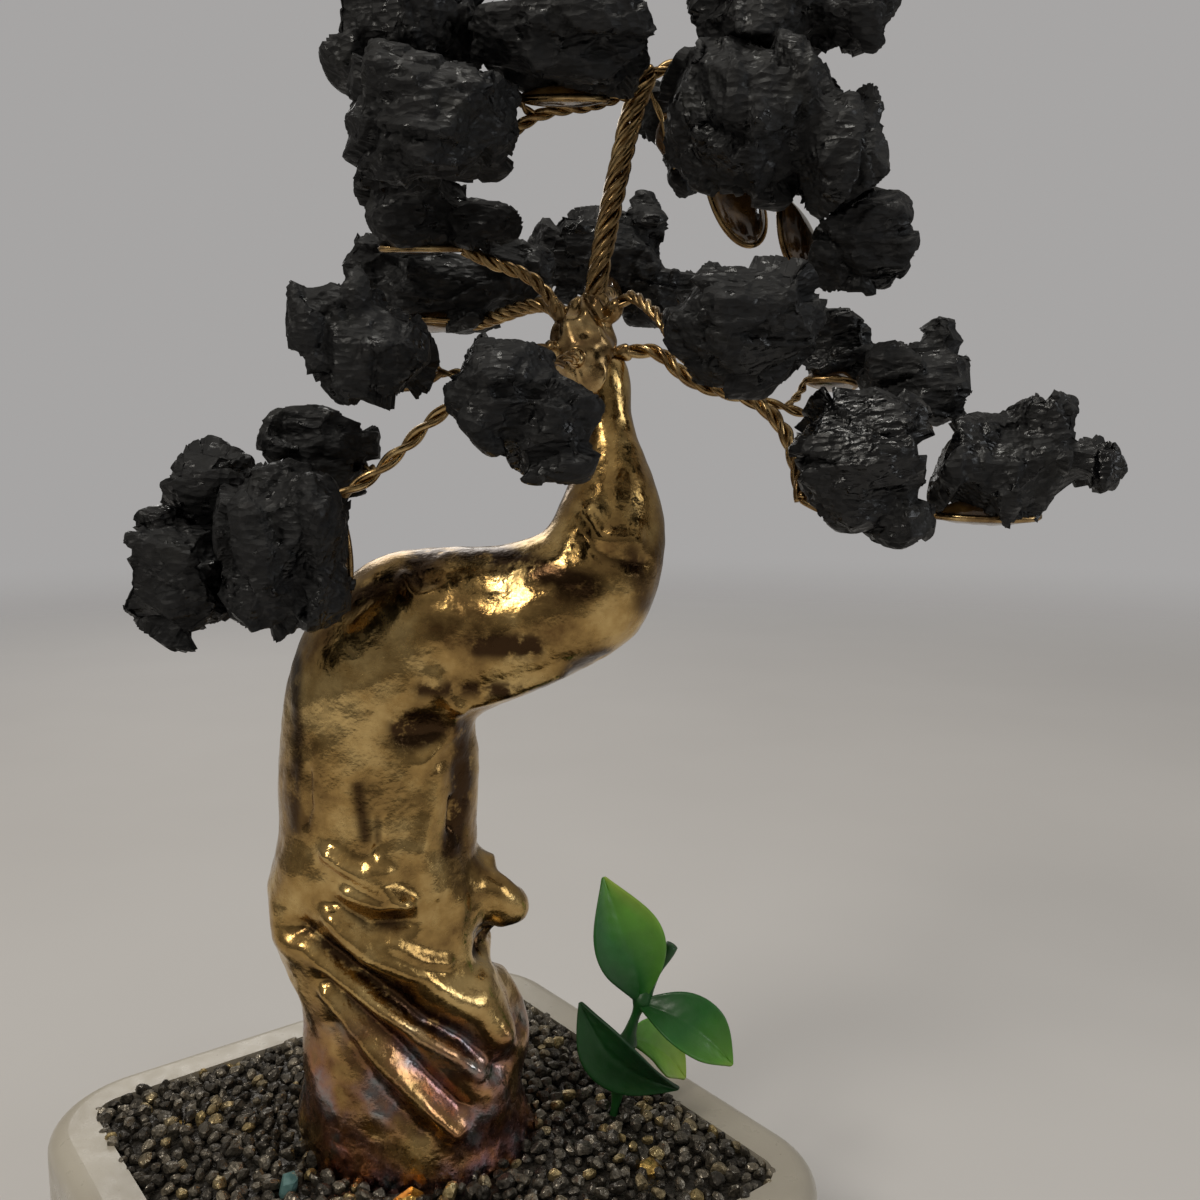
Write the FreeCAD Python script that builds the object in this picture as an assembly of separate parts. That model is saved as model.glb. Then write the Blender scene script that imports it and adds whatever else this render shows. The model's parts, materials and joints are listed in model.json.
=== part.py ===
"""Table-top gem tree: a gold moulded trunk in a gravel-filled dish.

Soft gold wire comes out of a bound knob at the top of the trunk. It carries rough black stones,
which are glued with resin onto flat wire loops.

Units are millimetres. +Z is up, the tree's front faces -Y, and the origin is the centre of the
dish's underside.
"""
import FreeCAD, Part
import math
import os
import random

V = FreeCAD.Vector

# ---------------------------------------------------------------------------
# Driving dimensions
# ---------------------------------------------------------------------------

# Dish
DISH_LENGTH = 110.0         # outer, along its own longer side
DISH_WIDTH = 104.0          # outer, along its own shorter side
DISH_HEIGHT = 32.0
DISH_RIM = 9.0              # width of the rim, all round
DISH_FLOOR = 6.0            # thickness under the pocket
DISH_CORNER = 18.0          # outer corner radius, seen from above
DISH_TURN = 38.0            # degrees that the dish is turned from the tree's front

# What fills the dish
PLASTER_TOP = 26.0          # height of the plaster that holds the trunk's foot
GRAVEL_EDGE = 30.5          # height of the gravel along the rim
GRAVEL_HEAP = 34.0          # height of the gravel round the trunk

# Wire
STRAND = 1.0                # one soft wire
LEADER_LOW = 3.8            # twisted leader above the knob
LEADER_HIGH = 3.0           # twisted leader at its top
HINGE_GAP = 0.3             # between a wire's rounded root and the stub that it bends on
CORNER_SHARE = 0.42         # share of the shorter run that each bend of a wire takes up

# Trunk
RING_POINTS = 16            # points round each section

# Stones
STONE_FACETS = 15           # broken faces on each lobe of a stone


# ---------------------------------------------------------------------------
# Helpers
# ---------------------------------------------------------------------------

def largest(shape):
    """The biggest solid in a shape."""
    return max(shape.Solids, key=lambda solid: solid.Volume)


def boxes_meet(first, second):
    return first.BoundBox.intersect(second.BoundBox)


def cut_by(shape, tools):
    """The shape with every tool that reaches it taken away."""
    for tool in tools:
        if boxes_meet(shape, tool):
            shape = shape.cut(tool)
    return shape


def rounded_rectangle(length, width, radius, height):
    """A flat closed wire, centred on the Z axis."""
    x = length / 2
    y = width / 2
    inner_x = x - radius
    inner_y = y - radius
    diagonal = radius * math.sqrt(0.5)
    edges = []
    corners = [(1, 1), (-1, 1), (-1, -1), (1, -1)]
    for index, (sx, sy) in enumerate(corners):
        centre_x = sx * inner_x
        centre_y = sy * inner_y
        along_x = V(sx * x, centre_y, height)
        along_y = V(centre_x, sy * y, height)
        middle = V(centre_x + sx * diagonal, centre_y + sy * diagonal, height)
        first, last = (along_x, along_y) if sx * sy > 0 else (along_y, along_x)
        edges.append(Part.Arc(first, middle, last).toShape())
        next_sx, next_sy = corners[(index + 1) % 4]
        if next_sy == sy:
            target = V(next_sx * inner_x, sy * y, height)
        else:
            target = V(sx * x, next_sy * inner_y, height)
        edges.append(Part.LineSegment(last, target).toShape())
    return Part.Wire(edges)


def block(length, width, radius, bottom, top):
    wire = rounded_rectangle(length, width, radius, bottom)
    return Part.Face(wire).extrude(V(0, 0, top - bottom))


def turned(shape):
    """Turn a piece of the dish to the dish's own angle."""
    shape.rotate(V(0, 0, 0), V(0, 0, 1), DISH_TURN)
    return shape


def wire_path(points):
    """Straight runs joined by tangent arcs, through a list of points."""
    points = [V(*point) for point in points]
    edges = []
    start = points[0]
    for before, corner, after in zip(points, points[1:], points[2:]):
        run_in = (before - corner).normalize()
        run_out = (after - corner).normalize()
        half_turn = (math.pi - run_in.getAngle(run_out)) / 2
        shorter = min((before - corner).Length, (after - corner).Length)
        reach = shorter * CORNER_SHARE
        radius = reach / math.tan(half_turn)
        bisector = (run_in + run_out).normalize()
        to_centre = radius / math.cos(half_turn)
        arc_start = corner + run_in * reach
        arc_end = corner + run_out * reach
        arc_middle = corner + bisector * (to_centre - radius)
        edges.append(Part.LineSegment(start, arc_start).toShape())
        edges.append(Part.Arc(arc_start, arc_middle, arc_end).toShape())
        start = arc_end
    edges.append(Part.LineSegment(start, points[-1]).toShape())
    return Part.Wire(edges)


def tube(points, diameter):
    """A round wire along a list of points."""
    path = wire_path(points)
    direction = V(*points[1]) - V(*points[0])
    profile = Part.Wire([Part.makeCircle(diameter / 2, V(*points[0]), direction)])
    return path.makePipeShell([profile], True, True)


def stub(inner, pivot, diameter):
    """The fixed end of a wire, which stops just short of the ball that it bends on."""
    inner = V(*inner)
    pivot = V(*pivot)
    direction = (pivot - inner).normalize()
    length = (pivot - inner).Length - diameter / 2 - HINGE_GAP
    return Part.makeCylinder(diameter / 2, length, inner, direction)


def root_ball(pivot, diameter):
    """The rounded root of a branch, centred on the point that it bends about."""
    return Part.makeSphere(diameter / 2, V(*pivot))


def basis(along, normal):
    """Three square axes: along the loop, across it, and out of its plane."""
    normal = V(*normal).normalize()
    along = V(*along)
    along = (along - normal * along.dot(normal)).normalize()
    return along, normal.cross(along), normal


def wire_loop(centre, along, normal, length, width):
    """The four pieces of a flat closed loop of one strand, with round ends."""
    along, across, normal = basis(along, normal)
    centre = V(*centre)
    end_radius = width / 2
    offset = length / 2 - end_radius
    radius = STRAND / 2
    pieces = []
    for sign in (1, -1):
        end = centre + along * (sign * offset)
        half_ring = Part.makeTorus(end_radius, radius, V(0, 0, 0), V(0, 0, 1), -180, 180, 180)
        frame = FreeCAD.Matrix(
            across.x * -sign, along.x * sign, normal.x, end.x,
            across.y * -sign, along.y * sign, normal.y, end.y,
            across.z * -sign, along.z * sign, normal.z, end.z,
            0, 0, 0, 1,
        )
        half_ring.transformShape(frame)
        pieces.append(half_ring)
        side = centre + across * (sign * end_radius) - along * offset
        pieces.append(Part.makeCylinder(radius, 2 * offset, side, along))
    return pieces


def faceted(centre, half_sizes, tilt, seed, facets):
    """A lump with flat broken faces that fills an ellipsoid.

    tilt turns it in the plane that the front of the tree shows, in degrees.
    """
    chooser = random.Random(seed)
    a, b, c = half_sizes
    lump = Part.makeBox(2 * a, 2 * b, 2 * c, V(-a, -b, -c))
    for index in range(facets):
        height = 1 - 2 * (index + 0.5) / facets
        around = index * 2.39996 + chooser.uniform(-0.35, 0.35)
        height = max(-0.97, min(0.97, height + chooser.uniform(-0.08, 0.08)))
        level = math.sqrt(1 - height * height)
        normal = V(level * math.cos(around), level * math.sin(around), height)
        reach = math.sqrt((a * normal.x) ** 2 + (b * normal.y) ** 2 + (c * normal.z) ** 2)
        reach = reach * chooser.uniform(0.90, 1.02)
        waste = Part.makeBox(90, 90, 90, V(-45, -45, 0))
        waste.Placement = FreeCAD.Placement(normal * reach, FreeCAD.Rotation(V(0, 0, 1), normal))
        lump = lump.cut(waste)
    lump.rotate(V(0, 0, 0), V(0, 1, 0), tilt)
    lump.translate(V(*centre))
    return lump


def stone(lobes, seed):
    """A stone of one or more lobes."""
    pieces = []
    for index, (centre, half_sizes, tilt) in enumerate(lobes):
        pieces.append(faceted(centre, half_sizes, tilt, seed * 10 + index, STONE_FACETS))
    shape = pieces[0]
    if len(pieces) > 1:
        shape = shape.fuse(pieces[1:]).removeSplitter()
    return largest(shape)


def resin_pad(centre, along, normal, length, width, depth):
    """A cushion of resin that fills a wire loop and stands up to the stone."""
    along, across, normal = basis(along, normal)
    pad = faceted((0, 0, 0), (length / 2, width / 2, depth / 2), 0, 7, 12)
    frame = FreeCAD.Matrix(
        along.x, across.x, normal.x, centre[0],
        along.y, across.y, normal.y, centre[1],
        along.z, across.z, normal.z, centre[2],
        0, 0, 0, 1,
    )
    pad.transformShape(frame)
    return pad


def ring(centre, tilt, left, right, front, back):
    """The points of one closed section of the trunk, with the seam at the back.

    tilt is the angle between the section's normal and straight up, leaning towards +X.
    left, right, front and back are the distances from the centre to the bark.
    """
    lean = math.radians(tilt)
    sideways = V(math.cos(lean), 0, -math.sin(lean))
    points = []
    for step in range(RING_POINTS):
        angle = math.radians(90 + step * 360 / RING_POINTS)
        side = math.cos(angle)
        depth = math.sin(angle)
        across = side * (right if side > 0 else left)
        along = depth * (back if depth > 0 else front)
        points.append(V(*centre) + sideways * across + V(0, along, 0))
    return points + points[:1]


def skinned(sections):
    """A closed solid whose side runs smoothly through a list of sections."""
    surface = Part.BSplineSurface()
    surface.interpolate([ring(*section) for section in sections])
    first, last, _, _ = surface.bounds()
    faces = [surface.toShape()]
    for end in (first, last):
        faces.append(Part.Face(Part.Wire([surface.uIso(end).toShape()])))
    shell = Part.makeShell(faces)
    shell.sewShape()
    solid = Part.makeSolid(shell)
    if solid.Volume < 0:
        solid.reverse()
    return solid


def leaf(points, widths, thickness, face):
    """A thin leaf: flat oval sections along a midrib.

    face is the direction that the leaf's blade looks to.
    """
    sections = []
    count = len(points)
    for index, point in enumerate(points):
        before = V(*points[max(index - 1, 0)])
        after = V(*points[min(index + 1, count - 1)])
        direction = (after - before).normalize()
        across = direction.cross(V(*face)).normalize()
        flat = across.cross(direction).normalize()
        half_width = widths[index] / 2
        half_thick = min(thickness / 2, half_width * 0.8)
        outline = []
        for step in range(8):
            angle = math.radians(step * 45)
            offset = across * (half_width * math.cos(angle)) + flat * (half_thick * math.sin(angle))
            outline.append(V(*point) + offset)
        curve = Part.BSplineCurve()
        curve.interpolate(outline, PeriodicFlag=True)
        sections.append(Part.Wire([curve.toShape()]))
    return Part.makeLoft(sections, True, False)


# ---------------------------------------------------------------------------
# Dish
# ---------------------------------------------------------------------------

POCKET_LENGTH = DISH_LENGTH - 2 * DISH_RIM
POCKET_WIDTH = DISH_WIDTH - 2 * DISH_RIM
POCKET_CORNER = 5.0

dish = block(DISH_WIDTH, DISH_LENGTH, DISH_CORNER, 0, DISH_HEIGHT)
top_edges = [edge for edge in dish.Edges if edge.BoundBox.ZMin > DISH_HEIGHT - 0.01]
dish = dish.makeFillet(3.5, top_edges)
bottom_edges = [edge for edge in dish.Edges if edge.BoundBox.ZMax < 0.01]
dish = dish.makeChamfer(1.5, bottom_edges)
dish = dish.cut(block(POCKET_WIDTH, POCKET_LENGTH, POCKET_CORNER, DISH_FLOOR, DISH_HEIGHT + 1))
dish = turned(dish)

# ---------------------------------------------------------------------------
# Trunk
# ---------------------------------------------------------------------------

# centre, tilt, then the distances to the bark: left, right, front, back
TRUNK_SECTIONS = [
    ((-0.5, -1.0, 16.0), 0, 17.5, 17.5, 15.5, 15.0),
    ((-0.6, -1.0, 27.0), 0, 19.6, 19.8, 17.5, 16.5),
    ((-0.8, -1.0, 38.0), 0, 19.3, 19.5, 17.0, 16.0),
    ((-1.0, -1.0, 49.0), 0, 18.6, 19.2, 16.5, 15.5),
    ((-1.9, -1.0, 60.0), 0, 18.2, 18.6, 16.0, 15.0),
    ((-4.8, -1.0, 68.0), 0, 18.4, 17.6, 15.8, 14.8),
    ((-5.0, -1.0, 75.5), 0, 19.4, 18.2, 15.8, 14.6),
    ((-5.4, -1.0, 84.7), 0, 17.0, 16.8, 15.0, 14.0),
    ((-5.5, -1.0, 94.0), 0, 16.6, 16.4, 14.6, 13.8),
    ((-5.2, -1.0, 103.0), 4, 16.5, 16.2, 14.4, 13.6),
    ((-4.0, -1.0, 110.0), 22, 16.8, 15.8, 14.2, 13.6),
    ((-0.6, -1.0, 116.8), 45, 16.4, 15.8, 14.2, 13.6),
    ((5.0, -1.5, 121.2), 66, 15.2, 14.6, 13.6, 13.2),
    ((13.0, -2.5, 123.1), 82, 12.8, 12.8, 12.8, 12.4),
    ((22.4, -4.0, 126.4), 76, 11.6, 12.0, 12.0, 11.8),
    ((29.6, -5.0, 131.2), 48, 10.6, 11.4, 11.0, 10.8),
    ((32.6, -5.0, 138.0), 20, 9.4, 9.6, 9.4, 9.2),
    ((33.2, -4.2, 144.5), 4, 7.6, 7.6, 7.6, 7.6),
    ((32.9, -3.0, 150.5), -5, 5.2, 5.2, 5.4, 5.4),
    ((32.3, -1.8, 157.0), -2, 3.9, 3.9, 4.2, 4.2),
    ((32.2, -1.0, 166.0), 0, 3.2, 3.2, 3.4, 3.4),
]
trunk = skinned(TRUNK_SECTIONS)

# A flap of bark stands off the right side, just above the root folds
FLAP = [
    ((9.0, -1.0, 86.0), 0, 1.5, 1.5, 2.0, 2.0),
    ((11.5, -1.0, 80.0), 0, 4.0, 3.6, 4.0, 4.0),
    ((13.0, -1.0, 74.5), 0, 5.0, 5.4, 4.4, 4.4),
    ((12.0, -1.0, 70.5), 0, 4.5, 4.6, 4.0, 4.0),
    ((9.5, -1.0, 67.5), 0, 2.5, 2.5, 3.0, 3.0),
]
trunk = largest(trunk.fuse(skinned(FLAP)))

# The core is the bundle of wire that the trunk was moulded over. Every branch comes from it.
CORE_DIAMETER = 4.4
CORE_POINTS = [
    (-0.5, -1.0, 18.0),
    (-1.0, -1.0, 60.0),
    (-5.2, -1.0, 84.0),
    (-4.8, -1.0, 104.0),
    (3.0, -1.5, 119.0),
    (18.0, -3.0, 124.5),
    (30.5, -5.0, 130.5),
    (33.2, -4.2, 146.0),
    (32.3, -1.4, 160.0),
]
wire_core = tube(CORE_POINTS, CORE_DIAMETER)
trunk = trunk.cut(wire_core)

# ---------------------------------------------------------------------------
# Plaster, gravel and what lies in it
# ---------------------------------------------------------------------------

plaster = turned(block(POCKET_WIDTH, POCKET_LENGTH, POCKET_CORNER, DISH_FLOOR, PLASTER_TOP))

gravel = block(POCKET_WIDTH, POCKET_LENGTH, POCKET_CORNER, PLASTER_TOP, GRAVEL_EDGE)
heap_foot = rounded_rectangle(POCKET_WIDTH - 1, POCKET_LENGTH - 1, POCKET_CORNER, GRAVEL_EDGE)
heap_shoulder = rounded_rectangle(66, 70, 20, GRAVEL_EDGE + 2.2)
heap_top = rounded_rectangle(46, 48, 20, GRAVEL_HEAP)
gravel = gravel.fuse(Part.makeLoft([heap_foot, heap_shoulder, heap_top], True, True))
gravel = largest(turned(gravel.removeSplitter()))

# centre, half sizes, tilt
NUGGETS = [
    ((39.5, -10.0, 32.6), (2.2, 1.6, 1.5), 10),
    ((1.5, -21.5, 35.0), (2.4, 1.8, 1.5), -15),
    ((-44.0, 4.0, 31.2), (1.8, 1.4, 1.2), 0),
]
TURQUOISE = ((-18.5, -17.5, 34.4), (1.3, 1.1, 3.2), 12)

nuggets = []
for index, (centre, half_sizes, tilt) in enumerate(NUGGETS):
    nuggets.append(faceted(centre, half_sizes, tilt, 900 + index, 10))
gold_nuggets = Part.makeCompound(nuggets)
turquoise_chip = faceted(*TURQUOISE, 950, 10)

# ---------------------------------------------------------------------------
# Plastic leaf sprig
# ---------------------------------------------------------------------------

STEM_POINTS = [
    (33.2, 5.9, 27.4),
    (34.4, 5.9, 37.4),
    (36.2, 5.9, 47.7),
    (39.5, 5.9, 56.8),
    (44.0, 5.9, 64.8),
]
sprig_stem = tube(STEM_POINTS, 2.2)

LEAF_THICKNESS = 0.9
high_leaf = leaf(
    [(38.4, 5.5, 54.6), (38.1, 4.1, 59.0), (36.6, 3.2, 65.2), (34.1, 3.9, 72.0), (31.9, 5.3, 77.6)],
    [2.2, 8.4, 12.4, 8.6, 0.8],
    LEAF_THICKNESS,
    (0.25, -1, 0.1),
)
right_leaf = leaf(
    [(38.4, 5.5, 54.2), (42.5, 3.2, 53.9), (47.2, 1.4, 52.1), (51.5, 1.0, 48.8), (54.5, 1.9, 44.5)],
    [2.2, 7.2, 9.7, 7.4, 0.8],
    LEAF_THICKNESS,
    (0.2, -0.75, 0.65),
)
front_leaf = leaf(
    [(27.8, 2.3, 56.0), (30.5, 0.5, 50.3), (35.0, 0.1, 45.6), (40.4, 0.5, 42.2), (45.2, 1.4, 40.4)],
    [0.8, 7.4, 9.9, 7.4, 0.8],
    LEAF_THICKNESS,
    (0.15, -0.85, -0.5),
)
front_stalk = tube([(35.8, 5.9, 46.5), (35.4, 0.4, 45.6)], 1.3)
rear_leaf = leaf(
    [(36.2, 6.4, 46.9), (38.9, 9.3, 45.1), (42.2, 11.8, 42.2), (45.2, 13.4, 38.6), (47.2, 14.3, 34.8)],
    [2.0, 7.4, 9.4, 6.8, 0.8],
    LEAF_THICKNESS,
    (0.2, -0.6, 0.78),
)

# Each pair of leaves is one moulding, with a collar that is pushed onto the stem
upper_collar = Part.makeCylinder(1.7, 2.2, V(38.0, 5.9, 53.3), V(0.35, 0, 0.94))
lower_collar = Part.makeCylinder(1.7, 2.2, V(35.5, 5.9, 45.4), V(0.2, 0, 0.98))
upper_leaf_pair = largest(upper_collar.fuse([high_leaf, right_leaf]).cut(sprig_stem))
lower_leaf_pair = largest(lower_collar.fuse([front_leaf, front_stalk, rear_leaf]).cut(sprig_stem))

# ---------------------------------------------------------------------------
# Knob and fixed wire stubs
# ---------------------------------------------------------------------------

KNOB = [
    ((31.0, -2.4, 157.5), 2.2),
    ((29.6, -3.0, 162.5), 4.2),
    ((28.6, -3.0, 167.5), 4.8),
    ((28.9, -2.4, 171.5), 4.1),
    ((30.0, -1.7, 174.6), 2.3),
]
knob_sections = []
for centre, radius in KNOB:
    knob_sections.append(Part.Wire([Part.makeCircle(radius, V(*centre), V(0, 0, 1))]))
crown_knob = Part.makeLoft(knob_sections, True, False)

# name: inner end of the stub, pivot, diameter
ROOTS = {
    "leader": ((29.9, -1.6, 169.0), (30.7, -1.5, 177.6), LEADER_LOW),
    "upper_left": ((27.8, -2.2, 168.5), (22.9, -2.0, 176.4), 2.2),
    "back_left": ((28.6, 0.0, 168.5), (24.0, 4.6, 174.8), 2.6),
    "back": ((30.0, -0.5, 168.0), (31.0, 6.2, 175.4), 2.2),
    "right": ((30.0, -3.6, 169.0), (35.2, -6.4, 175.2), 2.0),
    "far_right": ((31.0, 0.0, 165.6), (37.4, -0.4, 167.4), 2.4),
    "front_left": ((28.8, -4.6, 165.0), (27.0, -10.0, 165.6), 2.0),
    "lower_left": ((28.0, -3.6, 164.0), (22.0, -6.4, 168.0), 2.2),
}
stubs = [stub(*ROOTS[name]) for name in ROOTS]
crown_knob = crown_knob.fuse(stubs)
crown_knob = largest(crown_knob.cut(trunk).cut(wire_core))

# ---------------------------------------------------------------------------
# Leader and branches
# ---------------------------------------------------------------------------

TOP_LEFT_PIVOT = (34.0, -5.0, 204.4)
TOP_RIGHT_PIVOT = (42.4, -1.5, 210.6)

leader = [
    root_ball(ROOTS["leader"][1], LEADER_LOW),
    tube([ROOTS["leader"][1], (32.3, -1.5, 185.5), (34.6, -1.5, 196.0)], LEADER_LOW),
    tube([(34.3, -1.5, 194.6), (36.2, -1.5, 203.2), (38.8, -1.5, 209.6)], LEADER_HIGH),
    stub((36.6, -2.0, 205.8), TOP_LEFT_PIVOT, 1.9),
    stub((38.2, -1.5, 208.0), TOP_RIGHT_PIVOT, 1.9),
    tube([(38.0, -1.0, 207.6), (40.6, 1.4, 204.6), (42.0, 2.2, 199.6), (43.4, 2.6, 195.8)], STRAND),
]

# Each loop of wire that a stone is glued to: branch, centre, direction along, direction towards
# the stone, length, width. Its resin pad fills the loop; the last number is how thick the pad is.
LOOPS = {
    "resin_top_left": ("top_left", (10.4, -8.6, 196.2), (-1, 0, -0.15), (0, -1, 0.1), 13, 8, 5.0),
    "resin_top_middle": ("top_left", (25.8, -9.8, 202.6), (1, 0, 0.1), (0, -0.2, 1), 13, 7, 3.6),
    "resin_top_right_large": ("top_right", (51.2, -4.8, 191.4), (0.42, 0, -1), (0.2, -1, 0.15), 19, 8, 5.4),
    "resin_top_right_low": ("top_right", (61.2, -4.8, 184.2), (0.5, 0, -0.85), (0.5, -0.85, 0), 12, 6, 5.0),
    "resin_top_right_crest": ("top_right", (53.6, -5.2, 209.8), (1, 0, 0.1), (0.1, -1, 0.3), 10, 6, 5.0),
    "resin_upper_left": ("upper_left", (3.4, -0.8, 182.8), (-1, 0, 0.1), (0, 0.25, 1), 13, 6, 4.2),
    "resin_back_left": ("back_left", (3.2, 15.1, 173.0), (-1, 0.1, 0.03), (0.03, 0.1, 1), 13, 7, 4.8),
    "resin_back": ("back", (32.5, 30.0, 179.2), (-0.2, 1, 0), (0, 0, 1), 12, 7, 6.4),
    "resin_right": ("right", (46.8, -23.6, 162.8), (0.85, -0.1, -0.5), (0.3, -0.4, 0.85), 10, 7, 5.0),
    "resin_far_right_low": ("far_right", (67.4, -18.6, 142.9), (1, -0.2, -0.1), (0.1, -0.4, 0.9), 13, 8, 5.0),
    "resin_far_right_high": ("far_right", (77.0, -8.4, 155.5), (1, 0, 0.05), (0.2, 0.1, 1), 10, 7, 4.4),
    "resin_far_right_end": ("far_right", (88.4, -17.4, 141.8), (1, 0, 0.05), (0, -0.1, 1), 15, 8, 4.4),
    "resin_right_rear": ("far_right", (68.2, -0.2, 162.0), (1, 0.1, 0.1), (0.1, 0.2, 1), 8, 6, 3.8),
    "resin_neck": ("front_left", (21.0, -22.6, 158.0), (-0.4, 0, -1), (0, -1, 0), 11, 7, 5.0),
    "resin_left": ("front_left", (3.6, -17.0, 163.0), (-1, 0, 0.1), (0, -1, 0.1), 9, 6, 4.8),
    "resin_lower_left_large": ("lower_left", (-9.6, -14.4, 134.6), (-0.14, 0, -1), (-0.3, -1, 0), 19, 8, 5.4),
    "resin_lower_left_high": ("lower_left", (-11.6, -7.4, 148.2), (-1, 0, 0), (-0.1, 0.3, 1), 8, 6, 4.0),
}


def tip(name):
    """Where the wire runs into a loop."""
    owner, centre, along, normal, length, width, depth = LOOPS[name]
    along, across, normal = basis(along, normal)
    point = V(*centre) - along * (length / 2)
    return (point.x, point.y, point.z)


# For each branch: its runs of wire, each with a diameter. The first run starts at the pivot.
WIRES = {
    "top_left": [
        ([TOP_LEFT_PIVOT, (29.6, -6.4, 202.6), (24.6, -7.0, 202.0), (20.0, -7.2, 200.4),
          tip("resin_top_left")], 1.9),
    ],
    "top_right": [
        ([TOP_RIGHT_PIVOT, (45.2, -1.2, 209.6), (46.8, -2.2, 205.4), tip("resin_top_right_large")], 1.9),
        ([(46.0, -1.8, 207.4), (47.4, -3.2, 208.6), tip("resin_top_right_crest")], 1.2),
        ([(47.2, -3.2, 202.6), (49.6, -1.9, 197.0), (54.0, -2.2, 192.4), tip("resin_top_right_low")], 1.5),
    ],
    "upper_left": [
        ([ROOTS["upper_left"][1], (19.4, -2.0, 178.9), (14.2, -1.8, 180.4), tip("resin_upper_left")], 2.2),
    ],
    "back_left": [
        ([ROOTS["back_left"][1], (20.4, 6.4, 175.2), (14.8, 10.2, 173.8), tip("resin_back_left")], 2.6),
    ],
    "back": [
        ([ROOTS["back"][1], (31.8, 12.0, 177.4), (32.8, 18.2, 178.8), tip("resin_back")], 2.2),
    ],
    "right": [
        ([ROOTS["right"][1], (37.4, -10.0, 173.8), (39.6, -14.6, 171.2), (41.4, -19.0, 168.2),
          tip("resin_right")], 2.0),
    ],
    "far_right": [
        ([ROOTS["far_right"][1], (41.2, -2.0, 166.6), (44.0, -3.6, 163.2), (48.4, -5.0, 160.8),
          (54.4, -7.4, 159.6), (59.0, -10.4, 155.6), (60.8, -14.0, 149.4), tip("resin_far_right_low")], 2.4),
        ([(54.0, -7.3, 159.7), (60.0, -7.2, 157.8), (66.4, -8.0, 156.0), tip("resin_far_right_high")], 1.6),
        ([(65.6, -7.9, 156.2), (70.0, -10.0, 152.4), (76.0, -14.0, 145.6), tip("resin_far_right_end")], 1.6),
        ([(60.0, -7.2, 157.8), (62.6, -4.0, 159.4), tip("resin_right_rear")], 1.4),
    ],
    "front_left": [
        ([ROOTS["front_left"][1], (26.4, -13.6, 164.8), (25.0, -18.0, 163.6), tip("resin_neck")], 2.0),
        ([(24.8, -18.6, 163.4), (18.0, -20.8, 162.0), (12.4, -19.6, 162.2), tip("resin_left")], 1.5),
    ],
    "lower_left": [
        ([ROOTS["lower_left"][1], (16.4, -8.4, 164.4), (9.4, -10.4, 159.0), (4.6, -11.6, 154.6),
          (0.0, -12.2, 150.2), (-4.2, -13.0, 146.6), tip("resin_lower_left_large")], 2.2),
        ([(-2.0, -12.5, 148.2), (-5.0, -10.2, 149.0), tip("resin_lower_left_high")], 1.4),
    ],
}

# A pad with no loop, which glues the stone behind the leader to its bare wire
JOINS = {
    "resin_behind_leader": ("leader", (42.6, 3.4, 201.6), (2.6, 1.8, 4.0)),
}

# ---------------------------------------------------------------------------
# Stones
# ---------------------------------------------------------------------------

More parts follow.
